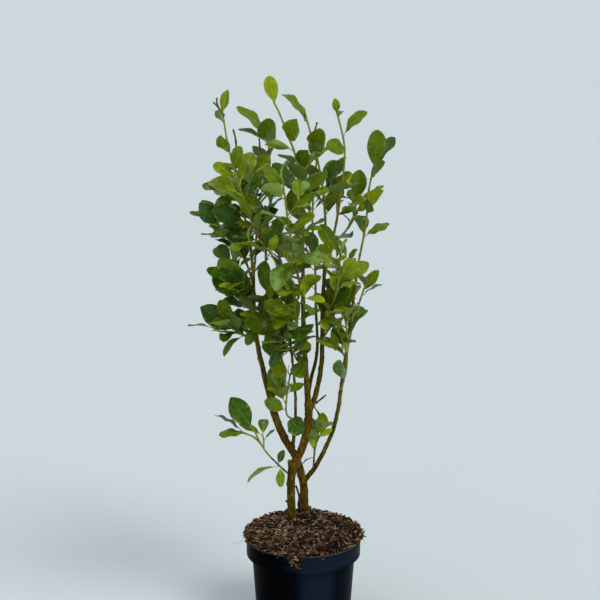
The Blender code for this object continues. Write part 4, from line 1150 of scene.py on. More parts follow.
def heap_mesh(mix):
    """Grid of rings over the heap, closed below inside the pot."""
    angles = [2 * math.pi * step / HEAP_SEGMENTS for step in range(HEAP_SEGMENTS)]
    verts = [Vector((0, 0, heap_height(0, 0, mix)))]
    for ring in range(1, HEAP_RINGS + 1):
        for angle in angles:
            x, y = polar(heap_edge(angle) * ring / HEAP_RINGS, angle)
            verts.append(Vector((x, y, heap_height(x, y, mix))))
    for angle in angles:
        verts.append(Vector((*polar(HEAP_FOOT_RADIUS, angle), POT_HEIGHT - HEAP_FOOT_DEPTH)))
    faces = [(0, 1 + step, 1 + (step + 1) % HEAP_SEGMENTS) for step in range(HEAP_SEGMENTS)]
    faces += ring_faces(HEAP_SEGMENTS, HEAP_RINGS + 1, 1, inward=True)
    last = 1 + HEAP_RINGS * HEAP_SEGMENTS
    faces.append(tuple(reversed(range(last, last + HEAP_SEGMENTS))))
    return verts, faces


def add_chip(shape, rng, middle, run, up, chip_length, paint):
    """A flat splinter of bark: three uneven rings of four corners."""
    side = up.cross(run).normalized()
    width = chip_length * rng.uniform(*CHIP_WIDTHS)
    thickness = width * rng.uniform(*CHIP_THICKNESSES)
    bend = chip_length * rng.uniform(*CHIP_BENDS)
    fullnesses = (rng.uniform(*CHIP_FOOTS), 1.0, rng.uniform(*CHIP_POINTS))
    verts = []
    for share, fullness in zip((-0.5, rng.uniform(*CHIP_WAISTS), 0.5), fullnesses):
        centre = middle + run * (chip_length * share) + up * (bend * (1 - 4 * share * share))
        for across, above in ((-1, -1), (1, -1), (1, 1), (-1, 1)):
            half_width = across * width / 2 * fullness * rng.uniform(*UNEVEN_WIDTHS)
            half_thickness = above * thickness / 2 * rng.uniform(*UNEVEN_THICKNESSES)
            verts.append(centre + side * half_width + up * half_thickness)
    shape.add((verts, [(3, 2, 1, 0), (8, 9, 10, 11)] + ring_faces(4, 3)), paint)


def place_on_heap(rng, mix):
    """Where a chip lies on the heap or on its edge."""
    angle = rng.uniform(0, 2 * math.pi)
    radius = (heap_edge(angle) + CHIP_OVERHANG * overflow(angle)) * math.sqrt(rng.random())
    x, y = polar(radius, angle)
    return x, y, heap_height(x, y, mix) + rng.uniform(*CHIP_RISES)


def place_in_spill(rng):
    """Where a chip lies in the clump, which thins out down the outside of the band."""
    fall = rng.random() ** SPILL_THINNING
    angle = rng.gauss(SPILL_DIRECTION + SPILL_DRIFT * fall,
                      SPILL_WIDTH * (1 - SPILL_NARROWING * fall))
    bulge = math.sin(min(fall * SPILL_CLEARING, math.pi / 2)) - max(fall - SPILL_CURL_START, 0)
    radius = POT_RADIUS - SPILL_INSET + SPILL_BULGE * bulge
    return *polar(radius, angle), POT_HEIGHT + SPILL_RISE - fall * SPILL_DROP


def chip_shares(x, y, size):
    """Shares of the five barks at a place: darker with painted shade in the hollow and to the middle
    and right, paler to the rim and the left.
    """
    paleness = min((math.hypot(x, y) / POT_RADIUS) ** 2 - PALER_TO_LEFT * x / POT_RADIUS, PALEST)
    hollow_shade = math.exp(-(Vector((x, y)) - Vector(SHADED_HOLLOW)).length_squared / SHADED_HOLLOW_RADIUS ** 2)
    shares = [share + gain * paleness for share, gain in zip(BARK_SHARES, PALE_GAINS)]
    shares[0] += HOLLOW_SHADE_GAIN * hollow_shade
    if size >= LONGEST_PALE_CHIP:
        shares[-1] = 0
    return shares


def scatter_chips(mix):
    """Chips strewn flat over the heap and its edge, and a clump that has spilt over the lip."""
    rng = random.Random(CHIP_SEED)
    shape = Shape()
    for index in range(mix.chips):
        x, y, z = place_on_heap(rng, mix)
        size = mix.shortest_chip
        size += (mix.longest_chip - mix.shortest_chip) * rng.random() ** CHIP_SMALLNESS
        shares = chip_shares(x, y, size)
        if index < mix.chips // SPILT_ONE_IN:
            x, y, z = place_in_spill(rng)
        yaw = rng.uniform(0, 2 * math.pi)
        tilt = rng.gauss(0, FLAT_TILT if rng.random() < FLAT_CHIPS else LOOSE_TILT)
        run = Vector((math.cos(yaw), math.sin(yaw), tilt)).normalized()
        up = square_to(run, Vector((rng.gauss(0, CHIP_LEAN), rng.gauss(0, CHIP_LEAN), 1)))
        paint = rng.choices(range(len(shares)), shares)[0]
        add_chip(shape, rng, Vector((x, y, z)), run, up, size, paint)
    return shape


def strew_fibres(mix):
    """Thin loose fibres that lie in curls over the chips, and a few that hang over the lip."""
    rng = random.Random(FIBRE_SEED)
    shape = Shape()
    for index in range(mix.fibres):
        angle = rng.uniform(0, 2 * math.pi)
        x, y = polar(heap_edge(angle) * math.sqrt(rng.random()) * FIBRED_SHARE, angle)
        heading = rng.uniform(0, 2 * math.pi)
        curl = rng.uniform(-LARGEST_CURL, LARGEST_CURL)
        step = rng.uniform(*FIBRE_LENGTHS) / FIBRE_STEPS
        route = []
        for _ in range(FIBRE_STEPS + 1):
            route.append(Vector((x, y, heap_height(x, y, mix) + rng.uniform(*FIBRE_RISES))))
            heading += curl
            x += step * math.cos(heading)
            y += step * math.sin(heading)
        radius = rng.uniform(*FIBRE_RADII)
        fibre = Shoot(route, radius, radius * FIBRE_TAPER, FIBRE_SPACING)
        shape.add(fibre.tube(FIBRE_SIDES), index % 3)
    for route in LIP_FIBRES:
        shape.add(Shoot(route, *LIP_FIBRE_RADII, FIBRE_SPACING).tube(FIBRE_SIDES), 1)
    return shape


def damp_peat(mix):
    """Damp sieved peat: dark, matt and crumbly."""
    return finish_material("damp_peat", 0.95, mottled(mix.peat, mix.dark_bark, 3.0),
                           uneven(1.2, 0.7), Specular_IOR_Level=0.1)


def composted_bark(name, colour):
    """Chips of composted pine bark and split wood: dried out and matt, darker in their grain."""
    return finish_material(name, 0.86, mottled(shade(colour, 0.62), shade(colour, 1.12), 1.4),
                           uneven(0.8, 0.25), Specular_IOR_Level=0.1)


class BROADLEAF_OT_potting_mix(bpy.types.Operator):
    """Heap the potting mix, strew its bark chips and lay loose fibres over them"""
    bl_idname = "broadleaf.potting_mix"
    bl_label = "Potting mix"

    def execute(self, context):
        mix = context.scene.broadleaf_mix
        heap = Shape()
        heap.add(heap_mesh(mix))
        add_piece("potting_mix_heap", heap, [damp_peat(mix)], ["potting_mix"])
        chips = [composted_bark("composted_bark", mix.dark_bark),
                 composted_bark("weathered_bark", mix.brown_bark),
                 composted_bark("inner_bark", mix.red_bark),
                 composted_bark("weathered_wood", mix.tan_wood),
                 composted_bark("split_wood", mix.pale_wood)]
        add_piece("bark_chips", scatter_chips(mix), chips)
        add_piece("loose_fibres", strew_fibres(mix), chips[2:])
        return {"FINISHED"}


# Stems and boughs.

# Sawn stub of the old leader, where the front stem bends away.
STUB_HEIGHT = 0.219
STUB_LENGTH = 0.027
STUB_RADIUS = 0.0032
STUB_HEADING = (-0.10, -0.06, 1.0)
STUB_COLLAR = (-0.013, 0.000, 0.238)
STUB_SPACING = 0.0015
# Its cut end: how deep it is sunk, how far it stands out, and its radii as shares.
CUT_DEPTH = 0.0005
CUT_RISE = 0.0002
CUT_SHARES = (0.86, 0.80)
SLIM_LIMB_RADIUS = 0.005
# Finer fissures beside the common ones: their depth as a share, and how many times as close.
FINE_FISSURE_SHARE = 0.5
FINE_FISSURE_STEP = 2.3
# How far apart in the noise the fissures of two limbs are taken.
SEED_SHIFT = 9
BARK_STRETCH = (1, 1, 0.25)
# Patches of silky skin, then dark streaks: the setting, the size of a spot in millimetres,
# its detail, where in the noise it starts and is full, and how much it covers.
BARK_TINTS = (
    ("pale", 4.5, 2.0, 0.52, 0.66, 0.70),
    ("fissure", 1.6, 4.0, 0.52, 0.37, 0.90),
)
# Living barks, each with its colours from low to high and the heights between which it turns.
LIVING_BARKS = (
    ("olive_stem_bark", "olive", "brown", 0.20, 0.27),
    ("brown_stem_bark", "brown", "young", 0.27, 0.52),
    ("green_bough_bark", "olive", "young", 0.20, 0.40),
)
# Limbs whose bark isn't the brown one.
BARK_OF = {
    "front_stem": "olive_stem_bark",
    "right_bough": "green_bough_bark",
    "slender_bough": "green_bough_bark",
}


class BarkSettings(bpy.types.PropertyGroup):
    fissure_depth: length("Fissure depth", "Depth of the bark's fissures on a stem", 0.0008)
    fissure_width: length("Fissure width", "Distance between fissures round a limb", 0.0021)
    fissure_length: length("Fissure length", "Length of a fissure along a limb", 0.0090)
    knob_height: length("Knob height", "Height of the knob at an old leaf scar", 0.0018)
    knob_width: length("Knob width", "Width of that knob", 0.0020)
    knob_spacing: length("Knob spacing", "Distance between knobs along a limb", 0.0170)
    collar_height: length("Collar height", "Swelling of the front stem at its sawn stub", 0.0016)
    collar_length: length("Collar length", "Reach of that swelling along the stem", 0.0120)
    olive: tint("Olive bark", "Bark at the foot of the front stem", "463C0A")
    brown: tint("Brown bark", "Bark of the stems", "5C4412")
    young: tint("Young bark", "Bark of the boughs' upper ends", "70661E")
    pale: tint("Pale bark", "Where the silky outer skin still holds", "7E6C24")
    fissure: tint("Fissures", "Dark bottom of a fissure", "0E0802")
    cut: tint("Sawn wood", "End of the sawn stub", "8C6F42")


def bark_relief(bark, seed, swelling=None):
    """Skin height of a limb: fissures, a knob at each old leaf scar, and one swelling."""
    def relief(distance, angle, radius):
        round_limb = radius / bark.fissure_width
        place = Vector((math.cos(angle) * round_limb,
                        math.sin(angle) * round_limb + SEED_SHIFT * seed,
                        distance / bark.fissure_length))
        fissure = noise.noise(place)
        fissure += FINE_FISSURE_SHARE * noise.noise(place * FINE_FISSURE_STEP)
        index = round(distance / bark.knob_spacing)
        away = (distance - index * bark.knob_spacing) / bark.knob_width
        turn = (angle - index * LEAF_TURN + math.pi) % (2 * math.pi) - math.pi
        knob = math.exp(-away ** 2 - (turn * radius / bark.knob_width) ** 2)
        slimness = min(radius / SLIM_LIMB_RADIUS, 1.0)
        skin = slimness * (bark.fissure_depth * fissure + bark.knob_height * knob)
        if swelling is not None:
            away = (distance - swelling) / bark.collar_length
            skin += bark.collar_height * math.exp(-away ** 2)
        return skin
    return relief


def limb_skin(limb, shoots):
    """The limb's route for its skin, its foot sunk in what carries it."""
    coarse = shoots[limb.name]
    route = [Vector(point) for point in limb.route]
    heading, flare, flare_length = None, COLLAR, COLLAR_LENGTH
    if limb.joins == "ground":
        route.insert(0, route[0] - Vector((0, 0, BURIED_FOOT)))
        flare, flare_length = 2 * ROOT_FLARE, ROOT_FLARE_HEIGHT
    if limb.joins == "tip":
        parent = shoots[limb.parent]
        heading = coarse.first_heading
        route[0] = parent.centres[-1] - heading * SINK
        flare = parent.tip_radius - limb.foot_radius
    return Shoot(route, limb.foot_radius, limb.tip_radius, LIMB_RING_SPACING, heading,
                 flare, flare_length)


def sawn_stub(shoot):
    """The stub's skin and its cut end."""
    root = shoot.at(shoot.nearest(Vector((shoot.centres[0].x, 0, STUB_HEIGHT))))[0]
    heading = Vector(STUB_HEADING).normalized()
    end = root + heading * STUB_LENGTH
    skin = Shoot((root, end), STUB_RADIUS, STUB_RADIUS, STUB_SPACING)
    cut = Shoot((end - heading * CUT_DEPTH, end + heading * CUT_RISE),
                *(STUB_RADIUS * share for share in CUT_SHARES), CLEARANCE)
    return skin, cut


def living_bark(name, bark, low, high, from_z, to_z):
    """Thin living bark: silky and finely fissured, its colour turning up the stem with its age."""
    def colour(material, place):
        height = add_node(material, "ShaderNodeSeparateXYZ", {0: place}).outputs[2]
        painted = tinted(material, getattr(bark, low), getattr(bark, high), height, from_z, to_z)
        drawn = add_node(material, "ShaderNodeMapping", {"Vector": place, "Scale": BARK_STRETCH})
        for setting, spot_mm, detail, start, full, most in BARK_TINTS:
            spots = add_node(material, "ShaderNodeTexNoise",
                             {"Vector": drawn.outputs[0], "Scale": 1 / (spot_mm * MM),
                              "Detail": detail})
            painted = tinted(material, painted, getattr(bark, setting), spots.outputs[0],
                             start, full, most)
        return painted
    return finish_material(name, 0.7, colour, uneven(1.1, 0.30), Specular_IOR_Level=0.03)


class BROADLEAF_OT_limbs(bpy.types.Operator):
    """Skin the stems and boughs with fissured bark, each foot sunk in what carries it"""
    bl_idname = "broadleaf.limbs"
    bl_label = "Stems and boughs"

    def execute(self, context):
        bark = context.scene.broadleaf_bark
        shoots = grown(context)[0]
        barks = {name: living_bark(name, bark, *ends) for name, *ends in LIVING_BARKS}
        wood = finish_material("sawn_wood", 0.8, mottled(bark.cut, shade(bark.cut, 0.7), 0.8))
        for seed, limb in enumerate(LIMBS):
            shape = Shape()
            skin = limb_skin(limb, shoots)
            relief = bark_relief(bark, seed)
            if limb.name == "front_stem":
                stub, cut = sawn_stub(shoots[limb.name])
                shape.add(stub.tube(LIMB_SKIN_SIDES, relief=relief))
                shape.add(cut.tube(LIMB_SKIN_SIDES), 1)
                relief = bark_relief(bark, seed, skin.nearest(Vector(STUB_COLLAR)))
            shape.add(skin.tube(LIMB_SKIN_SIDES, relief=relief))
            materials = [barks[BARK_OF.get(limb.name, "brown_stem_bark")], wood]
            add_piece(limb.name + "_bark", shape, materials, [limb.name])
        return {"FINISHED"}


# Twigs, buds and bare sticks.

# Leafless sticks and stubs, each from its foot in a twig or bough to its tip.
BARE_STICKS = (
    ((0.012, 0.019, 0.706), (0.016, 0.018, 0.722), (0.019, 0.020, 0.732)),
    ((-0.060, 0.018, 0.672), (-0.061, 0.020, 0.693), (-0.062, 0.018, 0.710)),
    ((-0.091, -0.036, 0.697), (-0.093, -0.034, 0.716), (-0.096, -0.034, 0.728)),
    ((-0.108, -0.028, 0.745), (-0.116, -0.028, 0.757), (-0.123, -0.028, 0.764)),
    ((-0.117, -0.028, 0.758), (-0.118, -0.028, 0.764), (-0.118, -0.028, 0.770)),
    ((0.018, 0.005, 0.330), (0.027, 0.000, 0.339), (0.032, -0.003, 0.344)),
)
# A dead stick and a knob at the foot of the stems.
OLD_STICKS = (
    ((-0.004, 0.024, 0.156), (-0.007, 0.018, 0.172), (-0.006, 0.016, 0.184),
     (-0.011, 0.014, 0.202)),
    ((-0.018, 0.001, 0.178), (-0.0258, -0.001, 0.1840)),
)
# How far towards its limb's middle the foot of a mass's stem is sunk.
FOOT_SINK_SHARE = 0.7
BARE_STICK_RADII = (0.0015, 0.0011)
OLD_STICK_RADII = (0.0020, 0.0014)
OLD_STICK_SEED = 3
# A mass's stem is older over this share of its length, and oldest where it starts this low.
OLD_TWIG_SHARE = 0.45
OLD_TWIG_HEIGHT = 0.26
NODE_LENGTH = 0.0014
BUD_SIDES = 6
BUD_SINK = 0.0008
# A bud's outline: share of its length, then fullness.
BUD_OUTLINE = ((0.0, 0.75), (0.25, 1.0), (0.55, 0.86), (0.8, 0.48), (1.0, 0.06))


class TwigSettings(bpy.types.PropertyGroup):
    side_shoot_length: length("Side shoot length", "Length of the finer side shoots", 0.024)
    side_shoot_spacing: length("Side shoot spacing", "Distance between them on a stem", 0.034)
    node_swelling: length("Node swelling", "How far a twig swells at each leaf", 0.00045)
    bud_length: length("Bud length", "Length of the bud at a twig's tip", 0.0055)
    bud_radius: length("Bud radius", "Radius of that bud", 0.0013)
    green: tint("Green twig", "Skin of this year's twigs", "8C8A22")
    orange: tint("Orange twig", "Skin of last year's twigs", "7A5A1E")
    brown: tint("Brown twig", "Skin of the low, oldest twigs", "5C4622")
    bud: tint("Bud", "Scales of the buds", "93992E")
    dead: tint("Dead twig", "Bark of the bare sticks", "6A5A22")
    rotten: tint("Rotten stick", "Bark of the sticks at the stems' foot", "2F2614")


def twig_relief(twigs):
    """Skin height of a twig: a ring of swelling at each leaf."""
    def relief(distance, angle, radius):
        away = (distance + INTERNODE / 2) % INTERNODE - INTERNODE / 2
        return twigs.node_swelling * math.exp(-(away / NODE_LENGTH) ** 2)
    return relief


def twig_skin(route, shoot, flare):
    return Shoot(route, shoot.foot_radius, shoot.tip_radius, TWIG_RING_SPACING,
                 shoot.first_heading, flare, COLLAR_LENGTH / 2)


def mass_twigs(growth, shoots, relief):
    """Skins of a mass's stem, its twigs and its finer side shoots."""
    shape = Shape()
    limb = shoots[growth.mass.limb]
    route = [point.copy() for point in growth.stem.waypoints]
    if growth.joins_tip:
        route[0] = route[0] - growth.stem.first_heading * SINK
        flare = limb.tip_radius - growth.mass.foot_radius
    else:
        middle = limb.at(limb.nearest(route[0]))[0]
        route[0] = route[0].lerp(middle, FOOT_SINK_SHARE)
        flare = COLLAR / 2
    verts, faces = twig_skin(route, growth.stem, flare).tube(TWIG_SKIN_SIDES, relief=relief)
    old = 2 if route[0].z < OLD_TWIG_HEIGHT else 1
    old_faces = int(len(faces) * OLD_TWIG_SHARE)
    shape.add((verts, faces), [old] * old_faces + [0] * (len(faces) - old_faces))
    for twig in growth.twigs:
        skin = twig_skin(twig.waypoints, twig, COLLAR / 4)
        shape.add(skin.tube(TWIG_SKIN_SIDES, relief=relief), int(twig.foot_radius >= SIDE_TWIG_RADIUS))
    return shape


def bud(root, heading, bud_length, bud_radius):
    """A pointed bud as rings of corners."""
    side = square_to(heading, Vector((1, 0, 0)))
    other = heading.cross(side)
    verts = []
    for share, fullness in BUD_OUTLINE:
        for corner in range(BUD_SIDES):
            out = turned_way(side, other, 2 * math.pi * corner / BUD_SIDES)
            verts.append(root + heading * bud_length * share + out * bud_radius * fullness)
    return verts, closed_tube(BUD_SIDES, len(BUD_OUTLINE))


def sticks_shape(twigs, bark):
    """The bare sticks, and the old ones at the foot of the stems with the second paint."""
    shape = Shape()
    for paint, routes, radii, relief in (
            (0, BARE_STICKS, BARE_STICK_RADII, twig_relief(twigs)),
            (1, OLD_STICKS, OLD_STICK_RADII, bark_relief(bark, OLD_STICK_SEED))):
        for route in routes:
            stick = Shoot(route, *radii, TWIG_RING_SPACING)
            shape.add(stick.tube(TWIG_SKIN_SIDES, relief=relief), paint)
    return shape


def twig_bark(name, first, second):
    """Skin of a young twig: smooth, waxy and faintly streaked."""
    return finish_material(name, 0.45, mottled(first, second, 5.0), uneven(1.5, 0.12),
                           Specular_IOR_Level=0.2)


class BROADLEAF_OT_twigs(bpy.types.Operator):
    """Skin each mass's twigs, with a bud at each tip, and the bare sticks among them"""
    bl_idname = "broadleaf.twigs"
    bl_label = "Twigs, buds and sticks"

    def execute(self, context):
        twigs = context.scene.broadleaf_twigs
        shoots, growths = grown(context)
        skins = [twig_bark("young_twig_skin", twigs.green, shade(twigs.green, 0.75)),
                 twig_bark("older_twig_skin", twigs.orange, twigs.green),
                 twig_bark("oldest_twig_skin", twigs.brown, shade(twigs.brown, 0.7))]
        buds = Shape()
        for growth in growths:
            shape = mass_twigs(growth, shoots, twig_relief(twigs))
            add_piece(growth.mass.name + "_twigs", shape, skins)
            for shoot in [growth.stem] + growth.twigs:
                tip, heading = shoot.centres[-1], shoot.heading(len(shoot.centres) - 1)
                size = shoot.tip_radius / TWIG_TIP_RADIUS
                buds.add(bud(tip - heading * BUD_SINK, heading, twigs.bud_length * size,
                             twigs.bud_radius * size))
        add_piece("buds", buds, [twig_bark("bud_scales", twigs.bud, twigs.green)])
        dead = [twig_bark("dead_twig_bark", twigs.dead, shade(twigs.dead, 0.6)),
                twig_bark("rotten_stick_bark", twigs.rotten, shade(twigs.rotten, 0.6))]
        add_piece("bare_sticks", sticks_shape(twigs, context.scene.broadleaf_bark), dead)
        return {"FINISHED"}


# Leaves.

BLADE_SEED = 1000
PAINTED_SHEEN_SEED = 2000
# Share of leaves that are glossier, with painted highlight patches.
GLOSS_AND_PAINTED_SHEEN_SHARE = 0.09
# Places across a blade, from its left margin to its right as shares of its half width, and
# places along it.
BLADE_COLUMNS = (-1.0, -0.66, -0.33, 0.0, 0.33, 0.66, 1.0)
BLADE_STATIONS = (0.0, 0.05, 0.13, 0.23, 0.34, 0.46, 0.58, 0.70, 0.81, 0.90, 0.965)
# Ranges from which each blade's own lie is drawn.
FOOT_FULLNESSES = (0.78, 1.02)
POINT_FULLNESSES = (0.56, 0.86)
ARCHES = (0.05, 0.12)
FOLDS = (-0.05, 0.34)
TWISTS = (-0.32, 0.32)
WAVES = (1.2, 2.3)
WAVE_HEIGHTS = (0.4, 1.2)
# The waves of the two margins are out of step by this angle.
WAVE_OFFSET = 1.1
FOLD_CURVE = 1.3
VEIN_SPACING = 0.0085
VEIN_SLANT = 0.9
MARGIN_THINNING = 0.6
COMMON_WIDTH = 0.024
# How much of a midrib's radius goes with its blade's width.
RIB_WIDENING = 0.25
RIB_SIDES = 5
RIB_RISE = 0.0003
# Fullness of the stalk and of the midrib at shares of their lengths.
STALK_OUTLINE = ((0.0, 1.5), (0.2, 1.15), (0.6, 1.0), (1.0, 1.0))
RIB_OUTLINE = ((0.13, 0.85), (0.30, 0.66), (0.50, 0.5), (0.70, 0.34), (0.90, 0.2))
# A leaf's youth, from 0 to 1, at its stem's foot, its gain to the tip, how far it scatters,
# and the gain of a leaf shorter than the last size.
YOUTH_AT_FOOT = 0.22
YOUTH_GAIN = 0.55
YOUTH_SCATTER = 0.28
SHORT_LEAF_GAIN = 0.25
SHORT_LEAF = 0.040
# The least youth of each tone; what is older is bluish.
TONE_YOUTHS = ((YOUNG, 0.86), (FRESH, 0.62), (GREEN, 0.36), (DEEP, 0.14))
# How much darker than the rest the leaves of a mass are painted, from 0 to 1, as painted shade: they
# take older tones.
SHADED_MASSES = {
    "foliage_left": 0.24, "foliage_left_shoulder": 0.30, "foliage_left_side": 0.24,
    "foliage_left_low": 0.14, "foliage_left_back": 0.24, "foliage_back": 0.20,
    "foliage_back_left": 0.30, "foliage_back_right": 0.16, "foliage_inner_left": 0.30,
    "foliage_inner_back": 0.30, "foliage_centre_left": 0.12, "foliage_low_left": 0.20,
}


class LeafSettings(bpy.types.PropertyGroup):
    thickness: length("Thickness", "Thickness of a blade at its midrib", 0.0005)
    wave: length("Wave", "Height of the waves along a blade's margin", 0.0016)
    vein_depth: length("Vein depth", "Depth of the hollows along a blade's side veins", 0.00035)
    rib_radius: length("Rib radius", "Radius of the midrib at the blade's foot", 0.00062)
    young: tint("Young leaf", "Upper side of the youngest leaves", "879608")
    fresh: tint("Fresh leaf", "Upper side of this summer's leaves", "6C7E08")
    green: tint("Green leaf", "Upper side of grown leaves", "5A7008")
    deep: tint("Deep leaf", "Upper side of older leaves", "38580A")
    bluish: tint("Bluish leaf", "Upper side of the oldest leaves", "3A5A20")
    # Painted highlight: pale broad patches laid on the glossiest leaves.
    shiny: tint("Wax", "Waxy patches of shiny leaves", "769650")
    underside: tint("Underside", "Underside of grown leaves", "6E8238")
    pale_underside: tint("Pale underside", "Underside of young leaves", "869A48")
    midrib: tint("Midrib", "Midrib and stalk of grown leaves", "7C9030")
    pale_midrib: tint("Pale midrib", "Midrib and stalk of young leaves", "B0B848")


def blade_half_width(share, foot, point):
    """Half width of a blade as a share of its widest, from how its foot and point draw in."""
    widest = foot ** foot * point ** point / (foot + point) ** (foot + point)
    return share ** foot * (1 - share) ** point / widest


class Blade:
    """The lie of one leaf: its route, fold, twist, wave and veins."""

    def __init__(self, leaf, rng, leaves):
        self.leaf = leaf
        self.leaves = leaves
        self.chord = leaf.tip - leaf.root
        self.along = self.chord.normalized()
        self.face = square_to(self.along, leaf.face)
        self.side = self.along.cross(self.face)
        self.foot = rng.uniform(*FOOT_FULLNESSES)
        self.point = rng.uniform(*POINT_FULLNESSES)
        self.arch = rng.uniform(*ARCHES) * self.chord.length
        self.fold = rng.uniform(*FOLDS)
        self.twist = rng.uniform(*TWISTS)
        self.waves = rng.uniform(*WAVES)
        self.phase = rng.uniform(0, 2 * math.pi)
        self.wave = leaves.wave * rng.uniform(*WAVE_HEIGHTS) * leaf.width / COMMON_WIDTH
        self.veins = self.chord.length / VEIN_SPACING

    def middle(self, share):
        """Point of the leaf's centre line at a share of the way from root to tip."""
        arch = self.face * self.arch * 4 * share * (1 - share)
        return self.leaf.root + self.chord * share + arch

    def surface(self, along_blade, across):
        """Point on the blade's upper side, and the way that it faces there."""
        share = STALK_SHARE + (1 - STALK_SHARE) * along_blade
        side = turned_way(self.side, self.face, self.twist * along_blade)
        up = side.cross(self.along)
        up = up if up.dot(self.face) > 0 else -up
        half = blade_half_width(along_blade, self.foot, self.point) * self.leaf.width / 2
        half = max(half, STALK_RADIUS)
        lift = self.fold * abs(across) ** FOLD_CURVE * half
        lift += self.wave * across ** 2 * math.sin(2 * math.pi * self.waves * along_blade
                                                   + self.phase + (across > 0) * WAVE_OFFSET)
        vein = math.cos(2 * math.pi * (self.veins * along_blade - VEIN_SLANT * abs(across)))
        lift += self.leaves.vein_depth * vein * 4 * abs(across) * (1 - abs(across))
        return self.middle(share) + side * across * half + up * lift, up


def blade_mesh(blade):
    """The blade as a closed flattened tube, and which of its faces are its upper side."""
    thickness = blade.leaves.thickness
    inner = BLADE_COLUMNS[1:-1]
    size = len(BLADE_COLUMNS) + len(inner)
    verts = []
    for along_blade in BLADE_STATIONS:
        rows = [blade.surface(along_blade, across) for across in BLADE_COLUMNS]
        verts += [point for point, up in rows]
        for across, (point, up) in reversed(list(zip(inner, rows[1:-1]))):
            verts.append(point - up * thickness * (1 - MARGIN_THINNING * abs(across)))
    tip = len(verts)
    verts.append(blade.leaf.tip.copy())
    faces = ring_faces(size, len(BLADE_STATIONS))
    faces += [(tip - size + corner, tip - size + (corner + 1) % size, tip)
              for corner in range(size)]
    faces.append(tuple(reversed(range(size))))
    upper = [corner < len(BLADE_COLUMNS) - 1 for corner in range(size)]
    return (verts, faces), upper * len(BLADE_STATIONS) + [False]


def rib_mesh(blade):
    """The stalk, and the midrib that it runs on as, tapered to the blade's tip."""
    stations = [(share * STALK_SHARE, fullness) for share, fullness in STALK_OUTLINE]
    stations += [(STALK_SHARE + share * (1 - STALK_SHARE), fullness)
                 for share, fullness in RIB_OUTLINE]
    verts = []
    for share, fullness in stations:
        stoutness = 1 - RIB_WIDENING + RIB_WIDENING * blade.leaf.width / COMMON_WIDTH
        radius = blade.leaves.rib_radius * fullness * stoutness
        middle = blade.middle(share)
        if share > STALK_SHARE:
            middle = middle - blade.face * (radius - RIB_RISE)
        for corner in range(RIB_SIDES):
            angle = 2 * math.pi * corner / RIB_SIDES
            verts.append(middle + turned_way(blade.side, blade.face, angle) * radius)
    faces = ring_faces(RIB_SIDES, len(stations), inward=True)
    faces.append(tuple(range(RIB_SIDES)))
    faces.append(tuple(reversed(range(len(verts) - RIB_SIDES, len(verts)))))
    return verts, faces


def tone_of(youth):
    """Tone of a leaf's upper side by its youth."""
    for tone, least in TONE_YOUTHS:
        if youth > least:
            return tone
    return BLUISH


def mass_leaves(growth, leaves):
    """Every leaf of a mass, painted by its age, the nearer a twig's tip the younger, and older-toned as
    painted shade in shaded masses.
    """
    rng = random.Random(growth.mass.seed + BLADE_SEED)
    sheen_draw = random.Random(growth.mass.seed + PAINTED_SHEEN_SEED)
    shape = Shape()
    for leaf in growth.leaves:
        blade = Blade(leaf, rng, leaves)
        near = growth.stem.nearest(leaf.root) / growth.stem.length
        youth = YOUTH_AT_FOOT + YOUTH_GAIN * near + rng.uniform(-YOUTH_SCATTER, YOUTH_SCATTER)
        youth += SHORT_LEAF_GAIN * (blade.chord.length < SHORT_LEAF)
        youth -= SHADED_MASSES.get(growth.mass.name, 0.0)
        # A share of the leaves are glossier, with painted highlight patches.
        tone = GLOSS_AND_PAINTED_SHEEN if sheen_draw.random() < GLOSS_AND_PAINTED_SHEEN_SHARE else tone_of(youth)
        if leaf.tone is not None:
            tone = leaf.tone
        under, rib = (PALE_UNDERSIDE, PALE_MIDRIB) if tone <= FRESH else (UNDERSIDE, MIDRIB)
        mesh_data, upper = blade_mesh(blade)
        shape.add(mesh_data, [tone if side else under for side in upper])
        shape.add(rib_mesh(blade), rib)
    return shape


def leaf_cuticle(name, colour):
    """Thick waxy cuticle of the upper side: glossy, with faint darker and paler spots."""
    return finish_material(name, 0.25, mottled(shade(colour, 0.82), shade(colour, 1.16), 7.0),
                           uneven(3.2, 0.22, 0.8), IOR=1.40, Specular_IOR_Level=0.20)


def painted_sheen_cuticle(name, colour, wax):
    """Glossier upper side, with pale broad patches painted on as highlights."""
    return finish_material(name, 0.25, mottled(colour, wax, 11.0, 0.42, 0.60),
                           uneven(3.2, 0.22, 0.8), IOR=1.40, Specular_IOR_Level=0.30)


def leaf_underside(name, colour):
    """Underside with no wax: matt and paler."""
    return finish_material(name, 0.58, mottled(shade(colour, 0.93), shade(colour, 1.07), 5.0),
                           Specular_IOR_Level=0.1)


def leaf_rib(name, colour):
    """Skin of stalk and midrib: smooth and pale."""
    return finish_material(name, 0.42, mottled(shade(colour, 0.90), shade(colour, 1.06), 4.0),
                           Specular_IOR_Level=0.2)


